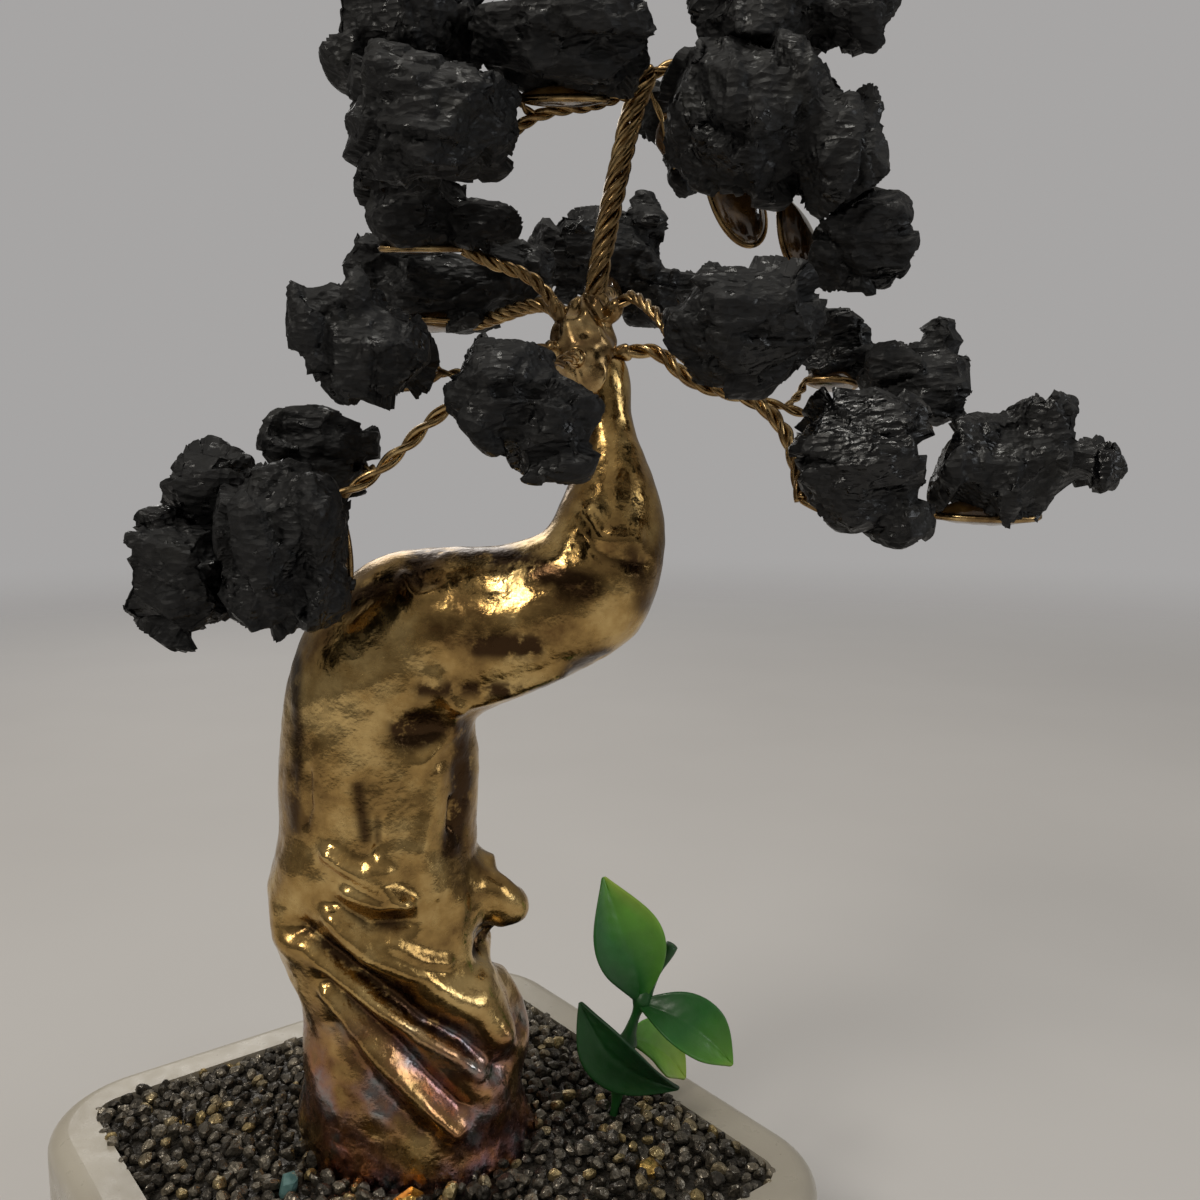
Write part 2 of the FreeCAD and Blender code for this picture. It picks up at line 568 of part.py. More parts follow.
# name: branch, then lobes of centre, half sizes and tilt
STONES = {
    "stone_top_left_front": ("top_left", [
        ((8.1, -18.0, 197.6), (12.4, 10.0, 8.2), 0),
        ((2.3, -18.0, 193.6), (6.2, 8.0, 5.6), 0),
    ]),
    "stone_top_left_back": ("top_left", [
        ((4.4, -11.0, 212.0), (11.0, 9.0, 7.0), -8),
        ((-2.6, -11.0, 209.6), (5.0, 7.0, 5.8), 0),
    ]),
    "stone_top_middle": ("top_left", [
        ((27.4, -14.5, 209.4), (11.4, 8.0, 7.4), 0),
        ((18.6, -14.5, 210.2), (5.8, 7.0, 5.2), 0),
    ]),
    "stone_top_right_large": ("top_right", [
        ((54.1, -16.0, 198.0), (12.8, 9.6, 10.6), 0),
        ((64.2, -16.0, 194.0), (7.2, 8.4, 8.6), 0),
        ((70.0, -16.0, 199.7), (2.6, 3.2, 2.6), 0),
        ((46.2, -15.0, 199.4), (4.8, 7.4, 8.5), 0),
    ]),
    "stone_top_right_crest": ("top_right", [
        ((54.6, -12.6, 213.3), (9.6, 8.2, 7.0), 0),
        ((67.4, -12.6, 213.6), (6.8, 7.0, 5.6), -15),
    ]),
    "stone_top_right_low": ("top_right", [
        ((69.4, -12.4, 182.2), (7.6, 6.8, 7.4), 0),
        ((72.6, -12.4, 185.8), (4.2, 5.4, 3.8), 0),
    ]),
    "stone_behind_leader": ("leader", [
        ((40.4, 6.0, 204.6), (2.9, 3.6, 4.8), 0),
        ((45.0, 6.0, 198.4), (2.8, 3.8, 6.6), -6),
        ((42.6, 6.4, 201.6), (2.8, 3.4, 4.0), 0),
    ]),
    "stone_upper_left": ("upper_left", [
        ((2.0, 1.6, 189.9), (8.7, 6.4, 6.3), 0),
        ((11.4, 1.4, 187.6), (7.6, 4.8, 3.9), 12),
    ]),
    "stone_back_left": ("back_left", [
        ((3.7, 16.0, 178.7), (12.9, 6.4, 5.6), 4),
        ((-7.4, 16.0, 183.4), (5.2, 5.4, 4.8), 0),
        ((15.8, 16.0, 181.3), (7.2, 5.4, 5.2), 0),
    ]),
    "stone_back": ("back", [
        ((31.3, 33.5, 187.2), (13.0, 8.0, 7.4), 0),
        ((40.2, 33.0, 192.6), (3.2, 5.0, 5.0), 0),
        ((43.4, 33.5, 179.8), (8.4, 7.0, 5.4), 0),
    ]),
    "stone_left": ("front_left", [
        ((-0.1, -24.0, 164.5), (9.2, 7.4, 6.7), 0),
        ((-7.6, -24.0, 168.4), (4.0, 6.4, 5.8), 0),
        ((-3.3, -24.0, 171.8), (4.4, 5.6, 3.2), 0),
    ]),
    "stone_neck": ("front_left", [
        ((18.6, -30.0, 159.4), (6.9, 7.2, 7.6), 0),
        ((24.4, -30.0, 154.2), (6.2, 7.0, 7.4), 20),
    ]),
    "stone_lower_left_high": ("lower_left", [
        ((-13.2, -6.4, 152.9), (7.2, 6.0, 5.6), 0),
        ((-9.4, -6.4, 151.6), (4.6, 5.4, 6.2), 0),
    ]),
    "stone_lower_left_large": ("lower_left", [
        ((-13.8, -22.5, 139.8), (9.6, 8.6, 9.6), 0),
        ((-17.1, -22.5, 131.2), (6.8, 7.4, 5.8), 0),
        ((-9.0, -22.5, 132.0), (4.6, 6.6, 5.4), 0),
    ]),
    "stone_lower_left_outer": ("lower_left", [
        ((-26.4, -15.4, 146.2), (6.2, 6.6, 6.4), 0),
    ]),
    "stone_lower_left_end": ("lower_left", [
        ((-29.2, -20.0, 133.0), (7.2, 7.0, 9.4), 0),
        ((-35.1, -20.0, 129.8), (3.8, 5.0, 4.0), 0),
    ]),
    "stone_right": ("right", [
        ((51.0, -28.6, 168.2), (10.2, 7.6, 8.4), 0),
    ]),
    "stone_right_rear": ("far_right", [
        ((69.2, 2.0, 167.7), (6.6, 5.2, 6.2), 0),
    ]),
    "stone_far_right_high": ("far_right", [
        ((81.0, -6.0, 161.6), (9.0, 7.0, 6.6), 0),
        ((83.5, -6.0, 168.6), (3.0, 4.2, 4.4), 8),
    ]),
    "stone_far_right_low": ("far_right", [
        ((68.0, -24.0, 150.7), (9.9, 8.6, 9.2), 0),
        ((73.1, -24.0, 144.6), (4.2, 6.8, 6.6), 0),
    ]),
    "stone_far_right_end": ("far_right", [
        ((90.6, -18.0, 148.6), (10.4, 7.8, 7.6), 0),
        ((96.0, -18.0, 156.2), (4.8, 5.6, 3.6), 0),
        ((102.4, -18.0, 149.9), (4.8, 6.2, 3.9), 0),
    ]),
}

# ---------------------------------------------------------------------------
# Put the crown together
# ---------------------------------------------------------------------------

# The separate runs of each branch, and the branch as one piece
runs_of = {"leader": leader}
for name, runs in WIRES.items():
    pivot_point = runs[0][0][0]
    runs_of[name] = [root_ball(pivot_point, runs[0][1])]
    runs_of[name] += [tube(points, diameter) for points, diameter in runs]
    for owner, centre, along, normal, length, width, depth in LOOPS.values():
        if owner == name:
            runs_of[name] += wire_loop(centre, along, normal, length, width)
wires = {name: runs[0].fuse(runs[1:]) for name, runs in runs_of.items()}

stones = {}
for index, (name, (owner, lobes)) in enumerate(STONES.items()):
    shape = stone(lobes, index + 1)
    neighbours = [stones[other] for other in stones if STONES[other][0] == owner]
    stones[name] = largest(cut_by(shape, neighbours + runs_of[owner]))

resin = {}
for name, (owner, centre, along, normal, length, width, depth) in LOOPS.items():
    resin[name] = (owner, resin_pad(centre, along, normal, length, width, depth))
for index, (name, (owner, centre, half_sizes)) in enumerate(JOINS.items()):
    resin[name] = (owner, faceted(centre, half_sizes, 0, 700 + index, 12))
done = []
for name, (owner, shape) in resin.items():
    tools = [stones[other] for other in stones if STONES[other][0] == owner]
    tools += [pad for pad_owner, pad in done if pad_owner == owner]
    shape = largest(cut_by(shape, tools + runs_of[owner]))
    resin[name] = (owner, shape)
    done.append((owner, shape))

# ---------------------------------------------------------------------------
# Clear the trunk and the sprig out of what they stand in
# ---------------------------------------------------------------------------

plaster = largest(cut_by(plaster, [trunk, wire_core]))
gravel = largest(cut_by(gravel, [trunk, sprig_stem, turquoise_chip] + nuggets))

# ---------------------------------------------------------------------------
# Write one STEP file for each piece
# ---------------------------------------------------------------------------

pieces = {
    "dish": dish,
    "plaster_fill": plaster,
    "gravel_bed": gravel,
    "gold_nuggets": gold_nuggets,
    "turquoise_chip": turquoise_chip,
    "trunk": trunk,
    "trunk_wire_core": wire_core,
    "crown_knob": crown_knob,
    "sprig_stem": sprig_stem,
    "upper_leaf_pair": upper_leaf_pair,
    "lower_leaf_pair": lower_leaf_pair,
}
for name, shape in wires.items():
    pieces["wire_" + name] = shape
for name, shape in stones.items():
    pieces[name] = shape
for name, (owner, shape) in resin.items():
    pieces[name] = shape

os.makedirs("parts", exist_ok=True)
for name, shape in pieces.items():
    shape.exportStep("parts/" + name + ".step")
    print("%-26s %d solid, valid %s, %9.1f mm3" % (name, len(shape.Solids), shape.isValid(), shape.Volume))
print(len(pieces), "pieces")
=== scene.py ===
# %% [markdown]
# # A gold wire tree hung with raw black stones
#
# The real thing is a small table ornament. A moulded trunk covered in polished gold stands in a
# cream dish of pyrite gravel. Soft twisted wires come out of a bound knob at its top, and each one
# ends in flat loops that rough black stones are glued to with gold-brown resin.
#
# The frame that is loaded here already has every piece in its right place. This lesson only makes
# the looks, so it never moves a piece. All lengths are in metres.

# %% Load the frame
import json
import math
import random
import bpy
import numpy as np
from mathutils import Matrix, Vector, noise


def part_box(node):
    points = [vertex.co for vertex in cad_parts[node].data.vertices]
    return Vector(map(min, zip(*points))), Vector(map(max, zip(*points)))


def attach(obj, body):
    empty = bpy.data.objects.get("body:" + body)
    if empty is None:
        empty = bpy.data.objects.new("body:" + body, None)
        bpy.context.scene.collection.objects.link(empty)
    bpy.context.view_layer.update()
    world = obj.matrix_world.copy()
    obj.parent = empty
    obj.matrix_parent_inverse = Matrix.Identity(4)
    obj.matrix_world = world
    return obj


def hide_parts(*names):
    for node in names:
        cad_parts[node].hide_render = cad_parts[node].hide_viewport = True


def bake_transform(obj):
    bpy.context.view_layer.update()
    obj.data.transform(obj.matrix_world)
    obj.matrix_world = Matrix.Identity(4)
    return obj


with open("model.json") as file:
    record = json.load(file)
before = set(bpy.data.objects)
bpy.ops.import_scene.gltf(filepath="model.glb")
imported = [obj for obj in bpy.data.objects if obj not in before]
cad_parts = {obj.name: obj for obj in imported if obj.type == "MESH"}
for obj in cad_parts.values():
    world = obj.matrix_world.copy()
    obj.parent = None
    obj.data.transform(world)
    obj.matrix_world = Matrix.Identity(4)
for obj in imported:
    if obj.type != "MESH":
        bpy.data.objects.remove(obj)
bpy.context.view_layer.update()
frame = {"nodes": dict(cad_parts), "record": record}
MM = 0.001
WELD_GAP = 0.00002


# %% [markdown]
# ## Small helpers
#
# A mesh is made from lists of points and faces, a solid is divided evenly so that it can be
# sculpted, and points are moved along their normals. A voxel remesh gives even faces whatever the
# solid looked like before, so it comes before any sculpting.

# %% Make a piece from points and faces
def new_piece(name, points, faces, material, smooth=True):
    mesh = bpy.data.meshes.new(name)
    mesh.from_pydata([tuple(point) for point in points], [], faces)
    mesh.update()
    if smooth:
        mesh.shade_smooth()
    piece = bpy.data.objects.new(name, mesh)
    bpy.context.scene.collection.objects.link(piece)
    mesh.materials.append(material)
    return piece


# %% Divide a solid evenly
def remeshed(name, node, voxel, material, smoothing):
    """A new piece shaped like a frame piece, its evenly spaced points, and where they face."""
    piece = bpy.data.objects.new(name, frame["nodes"][node].data.copy())
    bpy.context.scene.collection.objects.link(piece)
    weld = piece.modifiers.new("weld", "WELD")
    weld.merge_threshold = WELD_GAP
    even = piece.modifiers.new("even", "REMESH")
    even.mode = "VOXEL"
    even.voxel_size = voxel
    graph = bpy.context.evaluated_depsgraph_get()
    mesh = bpy.data.meshes.new_from_object(piece.evaluated_get(graph))
    piece.modifiers.clear()
    piece.data = mesh
    mesh.materials.clear()
    mesh.materials.append(material)
    mesh.shade_smooth()
    relax(mesh, smoothing)
    return piece, points_of(mesh), normals_of(mesh)


# %% Read, smooth and write the points of a mesh
def points_of(mesh):
    points = np.zeros(len(mesh.vertices) * 3)
    mesh.vertices.foreach_get("co", points)
    return points.reshape(-1, 3)


def normals_of(mesh):
    normals = np.zeros(len(mesh.vertices) * 3)
    mesh.vertex_normals.foreach_get("vector", normals)
    return normals.reshape(-1, 3)


def set_points(mesh, points):
    mesh.vertices.foreach_set("co", points.reshape(-1))
    mesh.update()


def relax(mesh, times):
    """Move each point towards the middle of its neighbours, a few times over."""
    points = points_of(mesh)
    edges = np.zeros(len(mesh.edges) * 2, dtype=int)
    mesh.edges.foreach_get("vertices", edges)
    edges = edges.reshape(-1, 2)
    ends = np.concatenate([edges[:, 0], edges[:, 1]])
    others = np.concatenate([edges[:, 1], edges[:, 0]])
    count = np.maximum(np.bincount(ends, minlength=len(points)), 1)
    for _ in range(times):
        for axis in range(3):
            total = np.bincount(ends, weights=points[others, axis], minlength=len(points))
            points[:, axis] = (points[:, axis] + total / count) / 2
    set_points(mesh, points)


def add_attribute(mesh, name, values):
    """Give every point a value that the finish can read."""
    attribute = mesh.attributes.new(name, "FLOAT", "POINT")
    attribute.data.foreach_set("value", values)


def smooth_step(values, low, high):
    share = np.clip((values - low) / (high - low), 0, 1)
    return share * share * (3 - 2 * share)


# %% [markdown]
# ## Camera
#
# The camera comes first, so that every later step can be looked at from the same place. It stands
# close to the tree, a little above the elbow of the trunk, and looks slightly down.

# %% Place the camera
CAMERA_DIP = 7.43
camera_data = bpy.data.cameras.new("camera")
camera_data.lens = 34.5
camera_data.sensor_width = 36
camera_data.clip_start = 0.01
camera = bpy.data.objects.new("camera", camera_data)
camera.location = (0.0313, -0.1874, 0.1514)
camera.rotation_euler = (math.radians(90 - CAMERA_DIP), 0, 0)
bpy.context.scene.collection.objects.link(camera)
bpy.context.scene.camera = camera
print("camera at", [round(value, 3) for value in camera.location])


# %% [markdown]
# ## Light
#
# Polished gold shows what is round it. So the room has a soft light from the upper left, a small
# one above for crisp highlights, weak ones from the right and from behind, and a dark surround that
# the metal can mirror. The camera sees a plain pale backdrop instead of that surround.

# %% Light the studio
def soft_light(name, place, aim, width, power, colour):
    data = bpy.data.lights.new(name, "AREA")
    data.size = width
    data.energy = power
    data.color = colour
    lamp = bpy.data.objects.new(name, data)
    lamp.location = place
    lamp.rotation_euler = (Vector(aim) - Vector(place)).to_track_quat("-Z", "Y").to_euler()
    bpy.context.scene.collection.objects.link(lamp)


TREE_MIDDLE = (0.02, -0.01, 0.12)
soft_light("key_light", (-0.45, -0.55, 0.75), TREE_MIDDLE, 0.22, 2.6, (1.0, 0.95, 0.86))
soft_light("top_light", (0.08, -0.10, 0.95), TREE_MIDDLE, 0.10, 1.8, (1.0, 0.97, 0.9))
soft_light("right_light", (0.75, -0.25, 0.35), TREE_MIDDLE, 0.30, 0.9, (0.92, 0.96, 1.0))
soft_light("back_light", (-0.25, 0.8, 0.5), TREE_MIDDLE, 0.40, 1.0, (1.0, 0.98, 0.95))

world = bpy.data.worlds.new("studio")
bpy.context.scene.world = world
world.use_nodes = True
nodes = world.node_tree.nodes
links = world.node_tree.links
nodes.clear()
seen = nodes.new("ShaderNodeBackground")
seen.inputs["Color"].default_value = (0.385, 0.376, 0.372, 1)
mirrored = nodes.new("ShaderNodeBackground")
coordinates = nodes.new("ShaderNodeTexCoord")
split = nodes.new("ShaderNodeSeparateXYZ")
ramp = nodes.new("ShaderNodeValToRGB")
stops = ((0.35, (0.06, 0.055, 0.05, 1)), (1.0, (0.42, 0.40, 0.37, 1)))
for element, (position, colour) in zip(ramp.color_ramp.elements, stops):
    element.position = position
    element.color = colour
shift = nodes.new("ShaderNodeMapRange")
shift.inputs["From Min"].default_value = -1
links.new(coordinates.outputs["Generated"], split.inputs[0])
links.new(split.outputs["Z"], shift.inputs["Value"])
links.new(shift.outputs["Result"], ramp.inputs["Fac"])
links.new(ramp.outputs["Color"], mirrored.inputs["Color"])
path = nodes.new("ShaderNodeLightPath")
choose = nodes.new("ShaderNodeMixShader")
links.new(path.outputs["Is Camera Ray"], choose.inputs["Fac"])
links.new(mirrored.outputs["Background"], choose.inputs[1])
links.new(seen.outputs["Background"], choose.inputs[2])
world_out = nodes.new("ShaderNodeOutputWorld")
links.new(choose.outputs["Shader"], world_out.inputs["Surface"])
bpy.context.scene.view_settings.view_transform = "Standard"
print("four soft lights are up")


# %% [markdown]
# ## How the finishes are made
#
# Every finish is a small net of nodes. Noise with a stretched scale gives streaks, and cell noise
# gives chips and grains. The coordinates are the pieces' own, in metres, so a scale of 1000 makes
# features about a millimetre wide.

# %% A kit for finishes
class Finish:
    """A material with helpers that add nodes to it."""

    def __init__(self, name, metallic, roughness, more=()):
        self.material = bpy.data.materials.new(name)
        self.material.use_nodes = True
        self.nodes = self.material.node_tree.nodes
        self.links = self.material.node_tree.links
        self.shader = self.nodes["Principled BSDF"]
        values = [("Metallic", metallic), ("Roughness", roughness), *more]
        for socket, value in values:
            self.shader.inputs[socket].default_value = value
        self.place = self.add("TexCoord").outputs["Object"]

    def add(self, kind, **values):
        """A new node. An underscore in a socket's name stands for a space."""
        node = self.nodes.new("ShaderNode" + kind)
        for socket, value in values.items():
            node.inputs[socket.replace("_", " ")].default_value = value
        return node

    def stretched(self, scale, turn=(0, 0, 0)):
        mapping = self.add("Mapping", Scale=scale, Rotation=turn)
        self.links.new(self.place, mapping.inputs["Vector"])
        return mapping.outputs["Vector"]

    def noise(self, scale, detail=4, rough=0.55, place=None):
        node = self.add("TexNoise", Scale=scale, Detail=detail, Roughness=rough)
        self.links.new(place or self.place, node.inputs["Vector"])
        return node.outputs["Fac"]

    def cells(self, scale, place=None, output="Distance"):
        node = self.add("TexVoronoi", Scale=scale)
        self.links.new(place or self.place, node.inputs["Vector"])
        return node.outputs[output]

    def attribute(self, name):
        node = self.add("Attribute")
        node.attribute_name = name
        return node.outputs["Fac"]

    def height(self):
        node = self.add("SeparateXYZ")
        self.links.new(self.place, node.inputs[0])
        return node.outputs["Z"]

    def ramp(self, value, *stops):
        node = self.add("ValToRGB")
        band = node.color_ramp
        while len(band.elements) < len(stops):
            band.elements.new(0.5)
        for element, (position, colour) in zip(band.elements, stops):
            element.position = position
            if isinstance(colour, (int, float)):
                colour = (colour, colour, colour)
            element.color = (*colour, 1)
        self.links.new(value, node.inputs["Fac"])
        return node.outputs["Color"]

    def fit(self, value, low, high, new_low=0.0, new_high=1.0):
        node = self.add("MapRange", From_Min=low, From_Max=high, To_Min=new_low, To_Max=new_high)
        node.interpolation_type = "SMOOTHSTEP"
        self.links.new(value, node.inputs["Value"])
        return node.outputs["Result"]

    def mix(self, share, first, second, kind="MIX"):
        node = self.add("Mix")
        node.data_type = "RGBA"
        node.blend_type = kind
        for index, value in ((0, share), (6, first), (7, second)):
            socket = node.inputs[index]
            if isinstance(value, bpy.types.NodeSocket):
                self.links.new(value, socket)
            elif isinstance(value, tuple):
                socket.default_value = (*value, 1)
            else:
                socket.default_value = value
        return node.outputs[2]

    def times(self, first, second):
        node = self.add("Math")
        node.operation = "MULTIPLY"
        self.links.new(first, node.inputs[0])
        self.links.new(second, node.inputs[1])
        return node.outputs[0]

    def bump(self, *layers):
        """Each layer is a height, how deep it is in metres, and how strongly it shows."""
        last = None
        for value, depth, strength in layers:
            node = self.add("Bump", Distance=depth, Strength=strength)
            self.links.new(value, node.inputs["Height"])
            if last is not None:
                self.links.new(last, node.inputs["Normal"])
            last = node.outputs["Normal"]
        self.links.new(last, self.shader.inputs["Normal"])

    def colour(self, value):
        self.links.new(value, self.shader.inputs["Base Color"])

    def rough(self, value):
        self.links.new(value, self.shader.inputs["Roughness"])


# %% [markdown]
# ### Polished gold with a brown patina
#
# The trunk is moulded, sealed and covered with gold leaf colour. It has worn to bronze in places,
# and near the gravel it has turned copper, rose and steel blue. Its hollows hold dark brown patina,
# and a few broad patches are painted dark reflections, partly brown patina: the sculpting step below
# writes both into the attribute that is read here. Fine brush marks run round it.

# %% Gold for the trunk
def trunk_gold():
    finish = Finish("trunk_gold", 1.0, 0.24)
    patina = finish.noise(85, 6, 0.62)
    gold = finish.ramp(patina, (0.34, (0.17, 0.095, 0.035)), (0.50, (0.44, 0.28, 0.10)),
                       (0.64, (0.68, 0.48, 0.20)))
    # the patina in the hollows and the painted dark reflections of the patches turn the gold dark brown
    patina_and_reflection_share = finish.times(finish.attribute("patina_and_painted_reflection"), finish.fit(finish.noise(240, 5, 0.65), 0.28, 0.52))
    gold = finish.mix(finish.fit(patina_and_reflection_share, 0.05, 0.8), gold, (0.055, 0.030, 0.014))
    rose = finish.ramp(finish.noise(120, 4), (0.34, (0.20, 0.11, 0.06)), (0.47, (0.42, 0.17, 0.10)),
                       (0.57, (0.36, 0.20, 0.21)), (0.66, (0.28, 0.34, 0.40)))
    low = finish.fit(finish.height(), 0.068, 0.042)
    broken = finish.fit(finish.noise(60, 3), 0.36, 0.60)
    gold = finish.mix(finish.times(low, broken), gold, rose)
    finish.colour(gold)
    finish.rough(finish.fit(finish.noise(420, 5, 0.7), 0.35, 0.70, 0.11, 0.34))
    brushed = finish.noise(2600, 3, 0.6, finish.stretched((0.5, 0.5, 1.4), (0.2, 0.5, 0.0)))
    pits = finish.noise(900, 4, 0.65)
    lumps = finish.noise(240, 3)
    finish.bump((lumps, 0.0009, 0.35), (pits, 0.00018, 0.30), (brushed, 0.00005, 0.30))
    return finish.material


TRUNK_GOLD = trunk_gold()


# %% [markdown]
# ### Soft gold wire
#
# The wires are plain annealed wire with a gold finish. They are brighter than the trunk, with
# darker patches and duller patches spread at random.

# %% Gold for the wires
def wire_gold():
    finish = Finish("wire_gold", 1.0, 0.25)
    tone = finish.noise(260, 4)
    gold = finish.ramp(tone, (0.34, (0.18, 0.11, 0.05)), (0.52, (0.38, 0.25, 0.11)),
                       (0.68, (0.62, 0.45, 0.22)))
    finish.colour(gold)
    finish.rough(finish.fit(finish.noise(700, 3), 0.35, 0.65, 0.16, 0.38))
    finish.bump((finish.noise(1800, 3), 0.00008, 0.35))
    return finish.material


WIRE_GOLD = wire_gold()


# %% [markdown]
# ### Raw black stone
#
# The stones are rough black tourmaline. It breaks in splinters along one direction, so its streaks
# are stretched. Most of a stone is dull, and fresh breaks flash in patches. Two versions are made,
# because a few stones have more of these patches.

# %% Black stone
def black_stone(name, flash):
    """The larger the flash, the more of the stone is freshly broken."""
    finish = Finish(name, 0.0, 0.5, [("Specular IOR Level", 0.42)])
    streaks = finish.noise(420, 5, 0.62, finish.stretched((0.35, 1.0, 1.6), (0.3, 0.25, 0.2)))
    tone = finish.ramp(streaks, (0.35, (0.0015, 0.0015, 0.002)), (0.55, (0.0035, 0.0035, 0.004)),
                       (0.74, (0.011, 0.010, 0.010)))
    dust = finish.fit(finish.noise(150, 4), 0.56, 0.74)
    tone = finish.mix(dust, tone, (0.012, 0.012, 0.011))
    finish.colour(tone)
    chips = finish.cells(900, output="Color")
    dull = finish.ramp(chips, (0.06, 0.16), (0.22 + flash, 0.42), (0.50 + flash, 0.70))
    bright = finish.ramp(chips, (0.10, 0.08), (0.60, 0.22), (0.90, 0.40))
    fresh = finish.fit(finish.noise(95, 2), 0.60 - flash, 0.68 - flash)
    finish.rough(finish.mix(fresh, dull, bright))
    grain = finish.noise(2600, 4, 0.7)
    facets = finish.cells(1100, finish.stretched((0.45, 1.0, 1.0), (0.3, 0.25, 0.2)))
    finish.bump((facets, 0.0006, 0.60), (streaks, 0.0004, 0.45), (grain, 0.00010, 0.4))
    return finish.material


BLACK_STONE = black_stone("black_stone", 0.0)
GLITTERING_STONE = black_stone("glittering_stone", 0.12)


# %% [markdown]
# ### Resin, pyrite, stoneware and plastic
#
# The resin is a clear gold-brown glue, so light goes a little way in. Each pyrite grain is a dull
# metal lump with its own tone. The dish is smooth cream stoneware under a thin glaze, and the
# leaves are soft green plastic that is paler at the tips, with light and shade painted into each leaf.

# %% Resin
def amber_resin():
    finish = Finish("amber_resin", 0.15, 0.12, [("Coat Weight", 0.8), ("Coat Roughness", 0.06),
                                                ("Transmission Weight", 0.25)])
    tone = finish.ramp(finish.noise(210, 4), (0.36, (0.035, 0.015, 0.005)), (0.56, (0.15, 0.075, 0.02)),
                       (0.72, (0.36, 0.21, 0.06)))
    finish.colour(tone)
    finish.rough(finish.fit(finish.noise(500, 3), 0.3, 0.7, 0.08, 0.26))
    finish.bump((finish.noise(450, 3), 0.0004, 0.35))
    return finish.material


AMBER_RESIN = amber_resin()


# %% Pyrite
def pyrite():
    finish = Finish("pyrite", 0.75, 0.38)
    own = finish.ramp(finish.attribute("grain"), (0.0, (0.075, 0.066, 0.055)),
                      (0.45, (0.17, 0.15, 0.12)), (0.80, (0.28, 0.245, 0.19)),
                      (0.97, (0.50, 0.38, 0.18)))
    patches = finish.ramp(finish.noise(900, 4), (0.35, 0.45), (0.65, 1.0))
    finish.colour(finish.mix(1.0, own, patches, "MULTIPLY"))
    finish.rough(finish.fit(finish.noise(1400, 3), 0.35, 0.65, 0.20, 0.55))
    finish.bump((finish.cells(1300), 0.0003, 0.5), (finish.noise(3000, 3), 0.0001, 0.5))
    return finish.material


PYRITE = pyrite()


# %% Stoneware
def stoneware():
    finish = Finish("dish_stoneware", 0.0, 0.34, [("Coat Weight", 0.25), ("Coat Roughness", 0.2)])
    cloud = finish.ramp(finish.noise(28, 4), (0.35, (0.40, 0.36, 0.29)), (0.65, (0.50, 0.46, 0.38)))
    specks = finish.fit(finish.noise(1100, 2, 0.8), 0.70, 0.78)
    finish.colour(finish.mix(specks, cloud, (0.22, 0.17, 0.11)))
    finish.rough(finish.fit(finish.noise(320, 3), 0.3, 0.7, 0.26, 0.46))
    finish.bump((finish.noise(95, 3), 0.0006, 0.25), (finish.noise(1500, 3), 0.00006, 0.3))
    return finish.material


DISH_STONEWARE = stoneware()


# %% Leaf plastic
def leaf_plastic():
    finish = Finish("leaf_plastic", 0.0, 0.42, [("Subsurface Weight", 0.12),
                                                ("Subsurface Radius", (0.001, 0.002, 0.0005))])
    blotch = finish.noise(170, 3)
    # the tone holds the plastic's green, paler at the tips, and painted light and shade for each leaf
    tone = finish.ramp(finish.attribute("tone"), (0.0, (0.004, 0.040, 0.010)),
                       (0.42, (0.020, 0.15, 0.020)), (0.72, (0.12, 0.34, 0.030)),
                       (1.0, (0.36, 0.52, 0.07)))
    shade = finish.ramp(blotch, (0.35, 0.75), (0.65, 1.0))
    finish.colour(finish.mix(1.0, tone, shade, "MULTIPLY"))
    finish.rough(finish.fit(finish.noise(600, 3), 0.3, 0.7, 0.32, 0.55))
    finish.bump((finish.noise(1500, 3), 0.0001, 0.3))
    return finish.material


LEAF_PLASTIC = leaf_plastic()


# %% Small things in the gravel
def plain_mineral(name, metallic, dark, light, scale):
    finish = Finish(name, metallic, 0.3)
    finish.colour(finish.ramp(finish.noise(scale, 4), (0.35, dark), (0.65, light)))
    finish.rough(finish.fit(finish.noise(scale * 2, 3), 0.3, 0.7, 0.18, 0.5))
    finish.bump((finish.cells(scale * 2), 0.0003, 0.4), (finish.noise(scale * 5, 3), 0.0001, 0.5))
    return finish.material


NUGGET_GOLD = plain_mineral("nugget_gold", 1.0, (0.42, 0.24, 0.06), (0.86, 0.60, 0.20), 500)
TURQUOISE = plain_mineral("turquoise", 0.0, (0.05, 0.13, 0.13), (0.16, 0.30, 0.29), 400)
PLASTER = plain_mineral("plaster", 0.0, (0.42, 0.40, 0.37), (0.58, 0.56, 0.52), 300)
print("made", len(bpy.data.materials), "finishes")


# %% [markdown]
# ## The floor
#
# A plain pale floor, wide enough to reach past every view. It fades out with distance from the
# dish, so that no hard horizon crosses the picture. It isn't part of the tree.

# %% Lay the floor
def floor_finish():
    finish = Finish("floor", 0.0, 0.8)
    cloud = finish.noise(6, 3)
    finish.colour(finish.ramp(cloud, (0.3, (0.57, 0.555, 0.545)), (0.7, (0.60, 0.585, 0.575))))
    far = finish.add("VectorMath")
    far.operation = "LENGTH"
    finish.links.new(finish.place, far.inputs[0])
    finish.links.new(finish.fit(far.outputs["Value"], 1.5, 0.25), finish.shader.inputs["Alpha"])
    return finish.material


FLOOR_HALF = 3.0
corners = [(x * FLOOR_HALF, y * FLOOR_HALF, 0) for x, y in ((-1, -1), (1, -1), (1, 1), (-1, 1))]
floor = new_piece("floor", corners, [(0, 1, 2, 3)], floor_finish())
